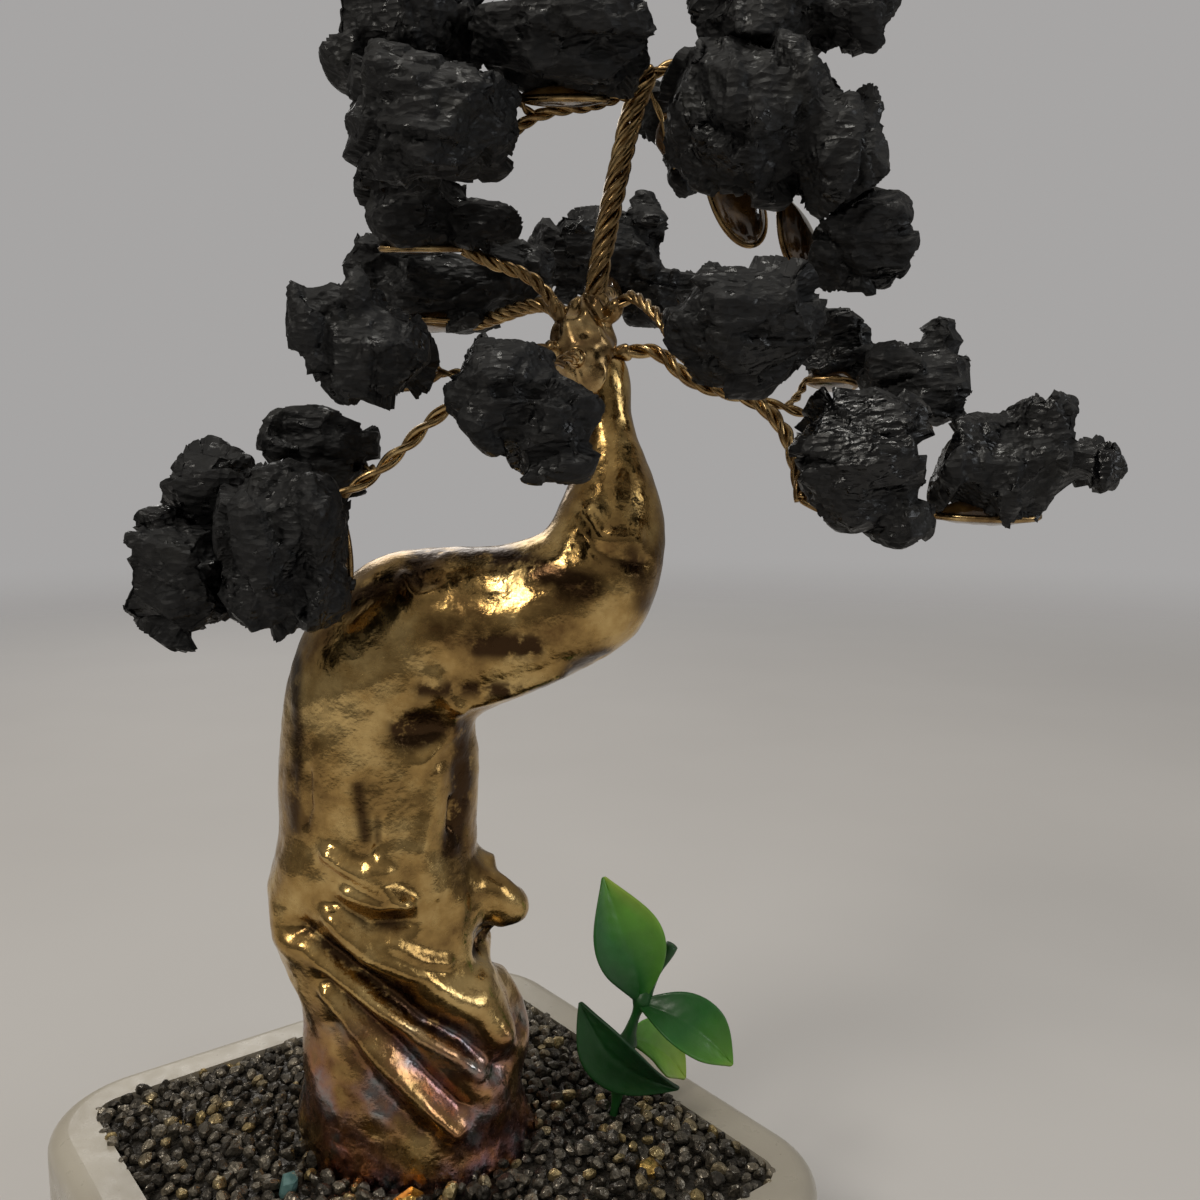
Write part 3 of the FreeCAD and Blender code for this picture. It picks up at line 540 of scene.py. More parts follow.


# %% [markdown]
# ## The trunk
#
# The trunk is one moulding with an S bend, cloth-like folds over its roots, a soft dimple, a knot
# and a few cracks. It could be drawn with a subdivision cage, but its folds cross at odd angles.
# So the solid is divided evenly, and each fold is a stroke: a line over the bark with a width and a
# height. A positive height raises a ridge, and a negative one presses a groove. The patches are
# strokes too, but they only darken the gold: they are painted dark reflections, partly brown patina.

# %% Strokes over the bark
# each stroke: height, half width, then its line as points across and up, all in millimetres
FRONT_STROKES = [
    (-2.6, 2.2, [(-16, 76), (-9, 72), (-1, 66), (3, 62), (10, 58), (14, 52)]),
    (1.6, 2.0, [(-10, 79), (-5, 73), (3, 69), (10, 62), (14, 56)]),
    (1.5, 1.6, [(-15, 74), (-9, 69), (-3, 64), (3, 60), (8, 56), (12, 52)]),
    (-1.7, 1.5, [(-12, 68), (-7, 64), (-1, 59), (3, 54), (9, 47)]),
    (1.5, 1.3, [(-12, 66), (-8, 61), (-3, 55), (2, 50), (8, 43)]),
    (-1.1, 1.8, [(-11, 60), (-7, 55), (-2, 49), (3, 44)]),
    (1.5, 1.2, [(-11, 89), (-6, 86), (-3, 84), (1, 81)]),
    (1.2, 1.0, [(-8, 83), (-3, 81), (1, 81)]),
    (1.1, 1.2, [(-4, 87), (-2, 86)]),
    (-1.4, 1.5, [(-10, 81), (-5, 78), (1, 78)]),
    (0.9, 0.8, [(-1, 75), (3, 72), (7, 70)]),
    (-1.9, 1.3, [(13, 72), (15, 67), (17, 61), (18, 55)]),
    (-0.7, 1.0, [(9, 90), (10, 84), (11, 78)]),
    (1.6, 2.4, [(12, 64), (15, 58), (14, 54)]),
    (1.4, 2.8, [(13, 49), (14, 44)]),
    (-1.2, 0.45, [(-3, 95), (-3, 93), (-3, 91), (-4, 89)]),
    (-1.0, 0.45, [(8, 96), (8, 94), (8, 91)]),
    (-0.6, 0.5, [(-14, 102), (-14, 99), (-14, 96), (-15, 93)]),
    (-1.6, 3.4, [(2, 108), (4, 108)]),
    (0.9, 1.2, [(6, 117), (7, 114), (9, 112), (8, 110), (8, 107), (4, 103)]),
    (1.2, 1.3, [(9, 112), (13, 113), (19, 115), (25, 117)]),
    (0.7, 1.3, [(6, 101), (5, 95), (3, 89), (5, 82)]),
    (-0.7, 1.4, [(9, 101), (9, 95), (7, 88), (9, 82)]),
    (-0.6, 2.6, [(3, 134), (5, 131)]),
    (0.8, 1.0, [(1, 132), (3, 129), (6, 130)]),
    (1.8, 4.0, [(-18, 84), (-21, 80), (-19, 74)]),
    (-0.5, 2.4, [(12, 131), (20, 130), (28, 129)]),
    (0.2, 1.8, [(-16, 112), (-9, 114), (-3, 117)]),
    (0.7, 1.2, [(29, 142), (31, 138), (37, 138)]),
    (-0.6, 1.0, [(29, 139), (32, 135), (38, 134)]),
]
BACK_STROKES = [
    (-2.2, 2.2, [(16, 80), (8, 74), (0, 66), (-9, 58), (-14, 46)]),
    (1.6, 1.8, [(12, 82), (4, 75), (-5, 68), (-14, 60)]),
    (1.4, 1.5, [(16, 72), (8, 64), (-1, 55), (-8, 44)]),
    (-1.5, 1.4, [(15, 66), (8, 57), (1, 48), (-2, 42)]),
    (1.2, 1.2, [(6, 92), (-2, 88), (-9, 86)]),
    (-1.1, 0.5, [(-6, 102), (-7, 96), (-6, 91)]),
    (0.8, 1.4, [(-14, 118), (-8, 112), (-6, 102), (-9, 92)]),
    (-0.8, 1.6, [(4, 122), (-2, 115), (-1, 106), (2, 96)]),
    (-1.0, 2.6, [(12, 126), (16, 126)]),
    (0.8, 1.4, [(6, 131), (16, 133), (25, 136)]),
]
# a fin of bark on the right, with a notch under it
FIN_STROKES = [
    (0.8, 2.4, [(15, 79), (18, 74.5)]),
    (-0.9, 1.4, [(12, 85), (14, 83)]),
    (-2.6, 1.5, [(13, 69), (17, 70), (20, 70)]),
]
# each patch: how dark its painted reflection and brown patina is, half width and line
PATINA_AND_REFLECTION_PATCHES = [
    (0.9, 2.2, [(3, 136.5), (10, 136), (19, 134.5), (30, 131)]),
    (0.8, 2.6, [(-8, 127.5), (-3, 130), (2, 132)]),
    (1.0, 2.4, [(13, 122), (21, 122)]),
    (0.8, 1.6, [(4, 115), (12, 115), (22, 115), (32, 120)]),
    (0.7, 1.8, [(-17, 118), (-16, 104), (-17, 92)]),
    (0.8, 1.6, [(9, 108), (9.5, 98), (8, 88)]),
    (0.9, 2.4, [(2, 109), (5, 108)]),
    (0.7, 1.4, [(-6, 100), (-5, 92)]),
    (0.9, 2.0, [(13, 72), (17, 72)]),
    (0.7, 1.6, [(29, 148), (30, 156)]),
    (0.6, 2.6, [(36, 136), (38, 128)]),
]


# %% Sculpt the trunk
def distance_to_line(across, up, line):
    """How far each point is from a line of straight runs, seen square on."""
    nearest = np.full(len(across), 1e9)
    for (ax, ay), (bx, by) in zip(line, line[1:]):
        run_x = bx - ax
        run_y = by - ay
        share = ((across - ax) * run_x + (up - ay) * run_y) / (run_x * run_x + run_y * run_y)
        share = np.clip(share, 0, 1)
        gap = np.hypot(across - ax - share * run_x, up - ay - share * run_y)
        nearest = np.minimum(nearest, gap)
    return nearest


def add_strokes(points, normals, strokes, side):
    """How far the strokes on one side push every point out, in metres."""
    across = points[:, 0] / MM
    up = points[:, 2] / MM
    weight = smooth_step(normals @ np.array(side), -0.25, 0.35)
    push = np.zeros(len(points))
    for height, half_width, line in strokes:
        gap = distance_to_line(across, up, line)
        push += height * np.exp(-((gap / half_width) ** 2)) * weight
    return push * MM


FRONT = (0, -1, 0)
BACK = (0, 1, 0)
RIGHT = (1, 0, 0)
TRUNK_VOXEL = 0.0006
DEEPEST = 0.0032
HIGHEST = 0.0030
DARK_DEPTH = 0.0020
FOLDS_END = 0.100
FOLDS_FULL = 0.070

trunk, points, normals = remeshed("trunk_bark", "trunk", TRUNK_VOXEL, TRUNK_GOLD, 6)
push = add_strokes(points, normals, FRONT_STROKES, FRONT)
push += add_strokes(points, normals, BACK_STROKES, BACK)
push += add_strokes(points, normals, FIN_STROKES, RIGHT)
push = np.clip(push, -DEEPEST, HIGHEST)
folds = smooth_step(points[:, 2], FOLDS_END, FOLDS_FULL)
lumps = []
for point, fold in zip(points, folds):
    place = Vector(point)
    broad = noise.noise(place * 75) * 0.0007
    running = Vector((point[0] * 60 + point[2] * 70, point[1] * 90, point[2] * 90 - point[0] * 20))
    cloth = noise.noise(running) * 0.0011 * fold
    fine = noise.noise(place * 420) * 0.00012
    lumps.append(broad + cloth + fine)
set_points(trunk.data, points + normals * (push + np.array(lumps))[:, None])
relax(trunk.data, 1)
# the patches are painted dark reflections, partly brown patina; the grooves add patina in the hollows
patches = add_strokes(points, normals, PATINA_AND_REFLECTION_PATCHES, FRONT) / MM
dark = np.clip(-push / DARK_DEPTH, 0, 1) + np.clip(patches, 0, 1)
add_attribute(trunk.data, "patina_and_painted_reflection", np.clip(dark, 0, 1).astype(np.float32))
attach(trunk, "tree")
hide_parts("trunk")
print("the trunk has", len(points), "points")


# %% [markdown]
# ## Twisted wire
#
# Each branch is two or more soft strands twisted together. One tube with a bump would have a
# smooth outline, so every strand is its own tube that winds round the branch's middle line.

# %% Follow a route smoothly
def rounded_route(route, step):
    """Evenly spaced points on the smooth curve that a list of points pulls along."""
    points = [Vector(point) * MM for point in route]
    parts = 24
    fine = []
    last = len(points) - 2
    for index in range(1, len(points) - 1):
        start = points[0] if index == 1 else (points[index - 1] + points[index]) / 2
        end = points[-1] if index == last else (points[index] + points[index + 1]) / 2
        for part in range(parts):
            share = part / parts
            first = start.lerp(points[index], share)
            second = points[index].lerp(end, share)
            fine.append(first.lerp(second, share))
    if len(points) == 2:
        fine.append(points[0])
    fine.append(points[-1])
    fine = np.array(fine)
    lengths = np.concatenate([[0], np.cumsum(np.linalg.norm(np.diff(fine, axis=0), axis=1))])
    count = max(int(lengths[-1] / step), 2) + 1
    wanted = np.linspace(0, lengths[-1], count)
    return np.stack([np.interp(wanted, lengths, fine[:, axis]) for axis in range(3)], axis=1), wanted


def square_axes(line):
    """Two sideways directions at each point of a line that turn as little as they can."""
    tangents = np.gradient(line, axis=0)
    tangents /= np.linalg.norm(tangents, axis=1)[:, None]
    side = Vector(tangents[0]).orthogonal().normalized()
    sides = []
    for tangent in tangents:
        tangent = Vector(tangent)
        side = (side - tangent * side.dot(tangent)).normalized()
        sides.append(side.copy())
    sides = np.array(sides)
    return sides, np.cross(tangents, sides)


# %% Make one tube along a line
class Mesh:
    """Points and faces that grow as tubes are added."""

    def __init__(self):
        self.points = []
        self.faces = []

    def tube(self, line, radius, sides=7, closed=False):
        first, second = square_axes(line)
        start = len(self.points)
        count = len(line)
        radii = np.full(count, radius) if np.isscalar(radius) else radius
        for index in range(count):
            for step in range(sides):
                angle = math.tau * step / sides
                offset = first[index] * math.cos(angle) + second[index] * math.sin(angle)
                self.points.append(line[index] + offset * radii[index])
        rings = count if closed else count - 1
        for index in range(rings):
            here = start + index * sides
            there = start + (index + 1) % count * sides
            for step in range(sides):
                after = (step + 1) % sides
                self.faces.append((here + step, here + after, there + after, there + step))
        if not closed:
            self.faces.append(tuple(start + step for step in reversed(range(sides))))
            self.faces.append(tuple(start + (count - 1) * sides + step for step in range(sides)))


# %% Twist strands round a route
WIRE_STEP = 0.0004
# strands press into each other a little, so each is made slightly too thick
PRESSED = 1.04


def twisted(mesh, route, diameter, strands, pitch, phase=0.0):
    """Wind some strands round a route. The diameter is that of the whole twist, in millimetres."""
    line, along = rounded_route(route, WIRE_STEP)
    first, second = square_axes(line)
    if strands == 2:
        radius = diameter / 4
    else:
        spread = math.sin(math.pi / strands)
        radius = diameter / 2 * spread / (1 + spread)
    orbit = (diameter / 2 - radius) * MM
    for strand in range(strands):
        wobble = np.sin(along / (pitch * MM) * 2.3 + strand * 1.7 + phase) * 0.25
        angle = along / (pitch * MM) * math.tau + math.tau * strand / strands + phase + wobble
        offset = first * np.cos(angle)[:, None] + second * np.sin(angle)[:, None]
        mesh.tube(line + offset * orbit, radius * MM * PRESSED)


# %% [markdown]
# ## Loops and their resin
#
# Each wire ends in a flat teardrop loop. Resin fills it like a lens, and the stone sits in the
# resin. The same outline is used for the wire of the loop and for the rim of the resin, so they
# always meet.

# %% Where the loops are
# name: branch, centre, direction along, direction towards the stone, length, width, resin depth
LOOPS = {
    "top_left": ("top_left", (10.4, -8.6, 196.2), (-1, 0, -0.15), (0, -1, 0.1), 13, 8, 5.0),
    "top_middle": ("top_left", (25.8, -9.8, 202.6), (1, 0, 0.1), (0, -0.2, 1), 13, 7, 3.6),
    "top_right_large": ("top_right", (51.2, -4.8, 191.4), (0.42, 0, -1), (0.2, -1, 0.15), 19, 8, 5.4),
    "top_right_low": ("top_right", (61.2, -4.8, 184.2), (0.5, 0, -0.85), (0.5, -0.85, 0), 12, 6, 5.0),
    "top_right_crest": ("top_right", (53.6, -5.2, 209.8), (1, 0, 0.1), (0.1, -1, 0.3), 10, 6, 5.0),
    "upper_left": ("upper_left", (3.4, -0.8, 182.8), (-1, 0, 0.1), (0, -0.12, 1), 13, 3.4, 2.6),
    "back_left": ("back_left", (3.2, 15.1, 173.0), (-1, 0.1, 0.03), (0.03, 0.1, 1), 13, 7, 4.8),
    "back": ("back", (32.5, 30.0, 179.2), (-0.2, 1, 0), (0, 0, 1), 12, 7, 6.4),
    "right": ("right", (46.8, -23.6, 162.8), (0.85, -0.1, -0.5), (0.3, -0.4, 0.85), 10, 7, 5.0),
    "far_right_low": ("far_right", (67.4, -18.6, 142.9), (1, -0.2, -0.1), (0.1, -0.4, 0.9), 13, 8, 5.0),
    "far_right_high": ("far_right", (77.0, -8.4, 155.5), (1, 0, 0.05), (0.2, 0.1, 1), 10, 7, 4.4),
    "far_right_end": ("far_right", (88.4, -17.4, 141.8), (1, 0, 0.05), (0, -0.1, 1), 15, 8, 4.4),
    "right_rear": ("far_right", (68.2, -0.2, 162.0), (1, 0.1, 0.1), (0.1, 0.2, 1), 8, 6, 3.8),
    "neck": ("front_left", (21.0, -22.6, 158.0), (-0.4, 0, -1), (0, -1, 0), 11, 7, 5.0),
    "left": ("front_left", (3.6, -17.0, 163.0), (-1, 0, 0.1), (0, -1, 0.1), 9, 6, 4.8),
    "lower_left_large": ("lower_left", (-9.6, -14.4, 134.6), (-0.14, 0, -1), (-0.3, -1, 0), 19, 8, 5.4),
    "lower_left_high": ("lower_left", (-11.6, -5.0, 148.2), (-1, 0, 0), (-0.1, 0.3, 1), 8, 5, 4.0),
}
LOOP_STEPS = 48
# brings the teardrop's widest place to its full width
TEARDROP = 1.12


def loop_frame(name):
    """Centre, and the directions along, across and out of a loop."""
    centre, along, normal = LOOPS[name][1:4]
    normal = Vector(normal).normalized()
    along = Vector(along)
    along = (along - normal * along.dot(normal)).normalized()
    return Vector(centre) * MM, along, normal.cross(along), normal


def loop_outline(name):
    """The teardrop that a loop's wire follows, from its tip round to its tip."""
    centre, along, across = loop_frame(name)[:3]
    length, width = LOOPS[name][4:6]
    outline = []
    for step in range(LOOP_STEPS):
        turn = math.tau * step / LOOP_STEPS
        forward = -math.cos(turn) * length / 2
        sideways = math.sin(turn) * abs(math.sin(turn / 2)) ** 0.7 * width / 2 * TEARDROP
        outline.append(centre + (along * forward + across * sideways) * MM)
    return np.array(outline)


def tip(name):
    """Where the twisted wire runs into a loop, in millimetres."""
    centre, along = loop_frame(name)[:2]
    return tuple(centre / MM - along * (LOOPS[name][4] / 2))


# %% [markdown]
# ## The branches
#
# Every branch bends softly where it leaves the knob or the leader. Its first run starts on the near
# side of that bend.

# %% Routes of the branches
# branch: the body it grows from, its start inside the knob, its bend
ROOTS = {
    "leader": ("tree", (29.9, -1.6, 169.0), (30.7, -1.5, 177.6)),
    "upper_left": ("tree", (27.8, -2.2, 168.5), (22.9, -2.0, 176.4)),
    "back_left": ("tree", (28.6, 0.0, 168.5), (24.0, 4.6, 174.8)),
    "back": ("tree", (30.0, -0.5, 168.0), (31.0, 6.2, 175.4)),
    "right": ("tree", (30.0, -3.6, 169.0), (35.2, -6.4, 175.2)),
    "far_right": ("tree", (31.0, 0.0, 165.6), (37.4, -0.4, 167.4)),
    "front_left": ("tree", (28.8, -4.6, 165.0), (27.0, -10.0, 165.6)),
    "lower_left": ("tree", (28.0, -3.6, 164.0), (22.0, -6.4, 168.0)),
    "top_left": ("leader", (36.6, -2.0, 205.8), (34.0, -5.0, 204.4)),
    "top_right": ("leader", (38.2, -1.5, 208.0), (42.4, -1.5, 210.6)),
}
# branch: runs of wire, each with its points after the bend, diameter, strands and pitch
RUNS = {
    "leader": [
        ([(32.3, -1.5, 185.5), (34.6, -1.5, 196.0), (36.2, -1.5, 203.2), (38.8, -1.5, 209.6)],
         3.6, 6, 13),
    ],
    "top_left": [
        ([(29.6, -6.4, 202.6), (24.6, -7.0, 202.0), (20.0, -7.2, 200.4), tip("top_left")], 1.9, 3, 8),
    ],
    "top_right": [
        ([(45.2, -1.2, 209.6), (46.8, -2.2, 205.4), tip("top_right_large")], 1.9, 3, 8),
    ],
    "upper_left": [
        ([(19.4, -2.0, 178.9), (14.2, -1.8, 180.4), tip("upper_left")], 2.2, 3, 8),
    ],
    "back_left": [
        ([(20.4, 6.4, 175.2), (14.8, 10.2, 173.8), tip("back_left")], 2.6, 4, 9),
    ],
    "back": [
        ([(31.8, 12.0, 177.4), (32.8, 18.2, 178.8), tip("back")], 2.2, 3, 8),
    ],
    "right": [
        ([(37.4, -10.0, 173.8), (39.6, -14.6, 171.2), (41.4, -19.0, 168.2), tip("right")], 2.0, 3, 8),
    ],
    "far_right": [
        ([(41.2, -2.0, 166.6), (44.0, -3.6, 163.2), (48.4, -5.0, 160.8), (54.4, -7.4, 159.6),
          (59.0, -10.4, 155.6), (60.8, -14.0, 149.4), tip("far_right_low")], 2.4, 3, 10),
    ],
    "front_left": [
        ([(26.4, -13.6, 164.8), (25.0, -18.0, 163.6), tip("neck")], 2.0, 2, 8),
    ],
    "lower_left": [
        ([(16.4, -8.4, 164.4), (9.4, -10.4, 159.0), (4.6, -11.6, 154.6), (0.0, -12.2, 150.2),
          (-4.2, -13.0, 146.6), tip("lower_left_large")], 2.3, 2, 10),
    ],
}
# branch: side wires that leave it further out
TWIGS = {
    "leader": [
        ([(38.0, -1.0, 207.6), (40.6, 1.4, 204.6), (42.0, 2.2, 199.6), (43.4, 2.6, 195.8)], 1.0, 2, 8),
    ],
    "top_right": [
        ([(46.0, -1.8, 207.4), (47.4, -3.2, 208.6), tip("top_right_crest")], 1.3, 2, 6),
        ([(47.2, -3.2, 202.6), (49.6, -1.9, 197.0), (54.0, -2.2, 192.4), tip("top_right_low")],
         1.5, 2, 7),
    ],
    "top_left": [([(21.4, -7.2, 201.2), (20.0, -8.2, 201.6), tip("top_middle")], 1.3, 2, 6)],
    "far_right": [
        ([(54.0, -7.3, 159.7), (60.0, -7.2, 157.8), (66.4, -8.0, 156.0), tip("far_right_high")],
         1.6, 2, 7),
        ([(65.6, -7.9, 156.2), (70.0, -10.0, 152.4), (76.0, -14.0, 145.6), tip("far_right_end")],
         1.6, 2, 7),
        ([(60.0, -7.2, 157.8), (62.6, -4.0, 159.4), tip("right_rear")], 1.4, 2, 6),
    ],
    "front_left": [
        ([(24.8, -18.6, 163.4), (18.0, -20.8, 162.0), (12.4, -19.6, 162.2), tip("left")], 1.5, 2, 7),
    ],
    "lower_left": [([(-2.0, -12.5, 148.2), (-4.4, -8.6, 149.0), tip("lower_left_high")], 1.4, 2, 6)],
}


# %% Twist the branches
LOOP_WIRE = 0.55 * MM
for index, (branch, (parent, inner, pivot)) in enumerate(ROOTS.items()):
    mesh = Mesh()
    for run, diameter, strands, pitch in RUNS[branch]:
        twisted(mesh, [inner, pivot] + run, diameter, strands, pitch, index * 0.7)
    for run, diameter, strands, pitch in TWIGS.get(branch, []):
        twisted(mesh, run, diameter, strands, pitch, index * 1.3)
    for name, loop in LOOPS.items():
        if loop[0] == branch:
            mesh.tube(loop_outline(name), LOOP_WIRE, closed=True)
    piece = new_piece("twisted_" + branch, mesh.points, mesh.faces, WIRE_GOLD)
    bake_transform(piece)
    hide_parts("wire_" + branch)
    print("twisted_" + branch, "has", len(mesh.faces), "faces")


# %% [markdown]
# ## The bound knob
#
# All the wires leave the trunk through a knob where they were bound and dipped in gold. The lay of
# the wires shows through its upper half as slanting grooves.

# %% Sculpt the knob
SMALL_VOXEL = 0.0003
KNOB_X = 0.0290
KNOB_Y = -0.0024
knob, points, normals = remeshed("bound_knob", "crown_knob", SMALL_VOXEL, WIRE_GOLD, 5)
turn = np.arctan2(points[:, 1] - KNOB_Y, points[:, 0] - KNOB_X)
lay = np.cos(turn * 7 + points[:, 2] * 900)
rising = smooth_step(points[:, 2], 0.164, 0.172)
dents = np.array([noise.noise(Vector(point) * 330) for point in points])
push = lay * 0.0004 * rising + dents * 0.0006 + 0.0002
set_points(knob.data, points + normals * push[:, None])
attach(knob, "tree")
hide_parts("crown_knob")


# %% Fill the loops with resin
# the lens is deeper on the stone's side than on the other
RESIN_RINGS = 10
STONE_SIDE = 0.62
OPEN_SIDE = 0.30
for name, loop in LOOPS.items():
    owner = loop[0]
    depth = loop[6]
    rim = loop_outline(name)
    middle = rim.mean(axis=0)
    out = np.array(loop_frame(name)[3])
    points = []
    faces = []
    for side, thickness in ((1, depth * STONE_SIDE), (-1, depth * OPEN_SIDE)):
        for ring in range(RESIN_RINGS + 1):
            share = math.sin(ring / RESIN_RINGS * math.pi / 2)
            rise = math.sqrt(max(1 - share * share, 0)) * thickness * MM * side
            for corner in rim:
                spot = middle + (corner - middle) * share
                ripple = noise.noise(Vector(spot) * 500) * 0.0003 * (1 - share)
                points.append(spot + out * (rise + ripple))
    half = (RESIN_RINGS + 1) * LOOP_STEPS
    for side in range(2):
        for ring in range(RESIN_RINGS):
            for step in range(LOOP_STEPS):
                a = side * half + ring * LOOP_STEPS + step
                b = side * half + ring * LOOP_STEPS + (step + 1) % LOOP_STEPS
                quad = (a, a + LOOP_STEPS, b + LOOP_STEPS, b)
                faces.append(quad if side == 0 else quad[::-1])
    piece = new_piece("glue_" + name, points, faces, AMBER_RESIN)
    weld = piece.modifiers.new("weld", "WELD")
    weld.merge_threshold = WELD_GAP / 2
    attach(piece, owner + "_branch")
    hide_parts("resin_" + name)

behind = remeshed("glue_behind_leader", "resin_behind_leader", SMALL_VOXEL, AMBER_RESIN, 4)[0]
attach(behind, "leader")
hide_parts("resin_behind_leader")
print("resin fills", len(LOOPS) + 1, "places")


# %% [markdown]
# ## The black stones
#
# Raw tourmaline breaks into flat splintery chips, and plain noise would make it look like clay. So
# each point looks up its cell in a stretched cell pattern, and the cell says how far out its chip
# stands and how it tilts. A large pattern gives the outline, and a small one gives the splinters.

# %% Chip the surface of a stone
def cell_values(cell):
    """A steady direction and a steady rise between -1 and 1 that belong to one cell."""
    seed = noise.cell_vector(Vector(cell) * 917.3)
    more = noise.cell(Vector(cell) * 311.7 + Vector((5.1, 2.3, 7.7)))
    return Vector((seed[0] * 2 - 1, seed[1] * 2 - 1, seed[2] * 2 - 1)), more * 2 - 1


def chip(place, size, stretch, step, tilt):
    """How far one chip pattern moves a point, in metres."""
    local = Vector((place.x * stretch.x, place.y * stretch.y, place.z * stretch.z)) / size
    middle = noise.voronoi(local)[1][0]
    lean, rise = cell_values(middle)
    slope = (local - middle).dot(lean)
    return rise * step + slope * tilt * size


STONE_VOXEL = 0.00045
CHIP_SIZE = 0.0076
SPLINTER_SIZE = 0.0026
SWELL = 0.00025
DEEPEST_CHIP = 0.0016
GLITTERING = ("stone_right_rear", "stone_far_right_end", "stone_far_right_low")
stone_faces = 0
for body, members in frame["record"]["behaviour"]["bodies"].items():
    for node in members:
        if not node.startswith("stone_"):
            continue
        chooser = random.Random(node)
        finish = GLITTERING_STONE if node in GLITTERING else BLACK_STONE
        piece, points, normals = remeshed("rough_" + node[6:], node, STONE_VOXEL, finish, 3)
        shift_by = Vector((chooser.random(), chooser.random(), chooser.random()))
        lie = Vector((0.55, 1.0, 1.25)) if chooser.random() < 0.6 else Vector((1.2, 1.0, 0.6))
        moved = []
        for point in points:
            place = Vector(point) + shift_by
            out = chip(place, CHIP_SIZE, lie, step=0.00065, tilt=0.32)
            out += chip(place, SPLINTER_SIZE, lie, step=0.00016, tilt=0.24)
            out += noise.noise(place * 900) * 0.00008
            streak = Vector((place.x * 150 * lie.x, place.y * 420, place.z * 420 * lie.z))
            out += noise.noise(streak) * 0.00028
            moved.append(out)
        push = np.clip(np.array(moved) + SWELL, -DEEPEST_CHIP, DEEPEST_CHIP)
        set_points(piece.data, points + normals * push[:, None])
        stone_faces += len(piece.data.polygons)
        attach(piece, body)
        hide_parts(node)
print("the stones have", stone_faces, "faces")


# %% [markdown]
# ## Gravel
#
# The gravel is crushed pyrite, heaped against the trunk. Grains are dropped on the heap at random
# spots that keep their distance from each other. Each is one of a few lumpy shapes, turned and
# sized on its own, and all of them are joined into one piece.

# %% Make a few grains
def grain_shape(seed):
    """A lumpy grain about one unit across, as points and faces."""
    bpy.ops.mesh.primitive_ico_sphere_add(subdivisions=2, radius=0.5)
    ball = bpy.context.object
    points = points_of(ball.data)
    faces = [tuple(face.vertices) for face in ball.data.polygons]
    bpy.data.objects.remove(ball)
    chooser = random.Random(seed)
    for _ in range(9):
        direction = np.array([chooser.gauss(0, 1) for _ in range(3)])
        direction /= np.linalg.norm(direction)
        reach = chooser.uniform(0.30, 0.42)
        over = np.maximum(points @ direction - reach, 0)
        points = points - over[:, None] * direction
    return points, np.array(faces)


GRAINS = [grain_shape(seed) for seed in range(8)]


# %% Heap the gravel
def drop_on_bed(x, y):
    """Whether a grain that falls here meets the gravel bed, where, and which way the bed faces."""
    bed = frame["nodes"]["gravel_bed"]
    return bed.ray_cast(Vector((x, y, 0.1)), Vector((0, 0, -1)))[:3]


chooser = random.Random(4)
low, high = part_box("gravel_bed")
KEEP_APART = 0.0019
THROWS = 60000
taken = {}
spots = []
for _ in range(THROWS):
    x = chooser.uniform(low.x, high.x)
    y = chooser.uniform(low.y, high.y)
    key = (int(x // KEEP_APART), int(y // KEEP_APART))
    around = [(key[0] + i, key[1] + j) for i in (-1, 0, 1) for j in (-1, 0, 1)]
    near = [spot for square in around for spot in taken.get(square, [])]
    if any(math.hypot(x - a, y - b) < KEEP_APART for a, b in near):
        continue
    hit, place, direction = drop_on_bed(x, y)
    if not hit or direction.z < 0.5:
        continue
    taken.setdefault(key, []).append((x, y))
    spots.append((x, y, place.z))
points = []
faces = []
tones = []
count = 0
for x, y, z in spots:
    shape, shape_faces = GRAINS[chooser.randrange(len(GRAINS))]
    size = chooser.uniform(0.0020, 0.0034)
    turn = np.array(Vector((0, 0, 1)).rotation_difference(
        Vector((chooser.gauss(0, 1), chooser.gauss(0, 1), chooser.gauss(0, 1)))).to_matrix())
    lump = shape * [size, size * chooser.uniform(0.7, 1.0), size * chooser.uniform(0.6, 0.95)]
    lump = lump @ turn.T + [x, y, z + size * chooser.uniform(0.1, 0.5)]
    points.append(lump)
    faces.append(shape_faces + count)
    tones.append(np.full(len(lump), chooser.random() ** 1.3))
    count += len(lump)
faces = [tuple(face) for face in np.concatenate(faces).tolist()]
gravel = new_piece("pyrite_grains", np.concatenate(points), faces, PYRITE, smooth=False)
add_attribute(gravel.data, "grain", np.concatenate(tones).astype(np.float32))
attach(gravel, "tree")
print(len(spots), "grains with", len(faces), "faces")


# %% [markdown]
# ## The leaf sprig
#
# The sprig is moulded plastic: a round stem, a cut end, and four cupped leaves with a pressed
# midrib. Each leaf is a grid that is narrow at both ends. Its tone runs from dark at the stalk to
# yellow-green at the tip, with light and shade painted in: the front leaf, which faces down, is
# painted dark all over as shade, the rear leaf, which faces up, is painted palest, and one edge of
# most blades is painted lighter than the other.

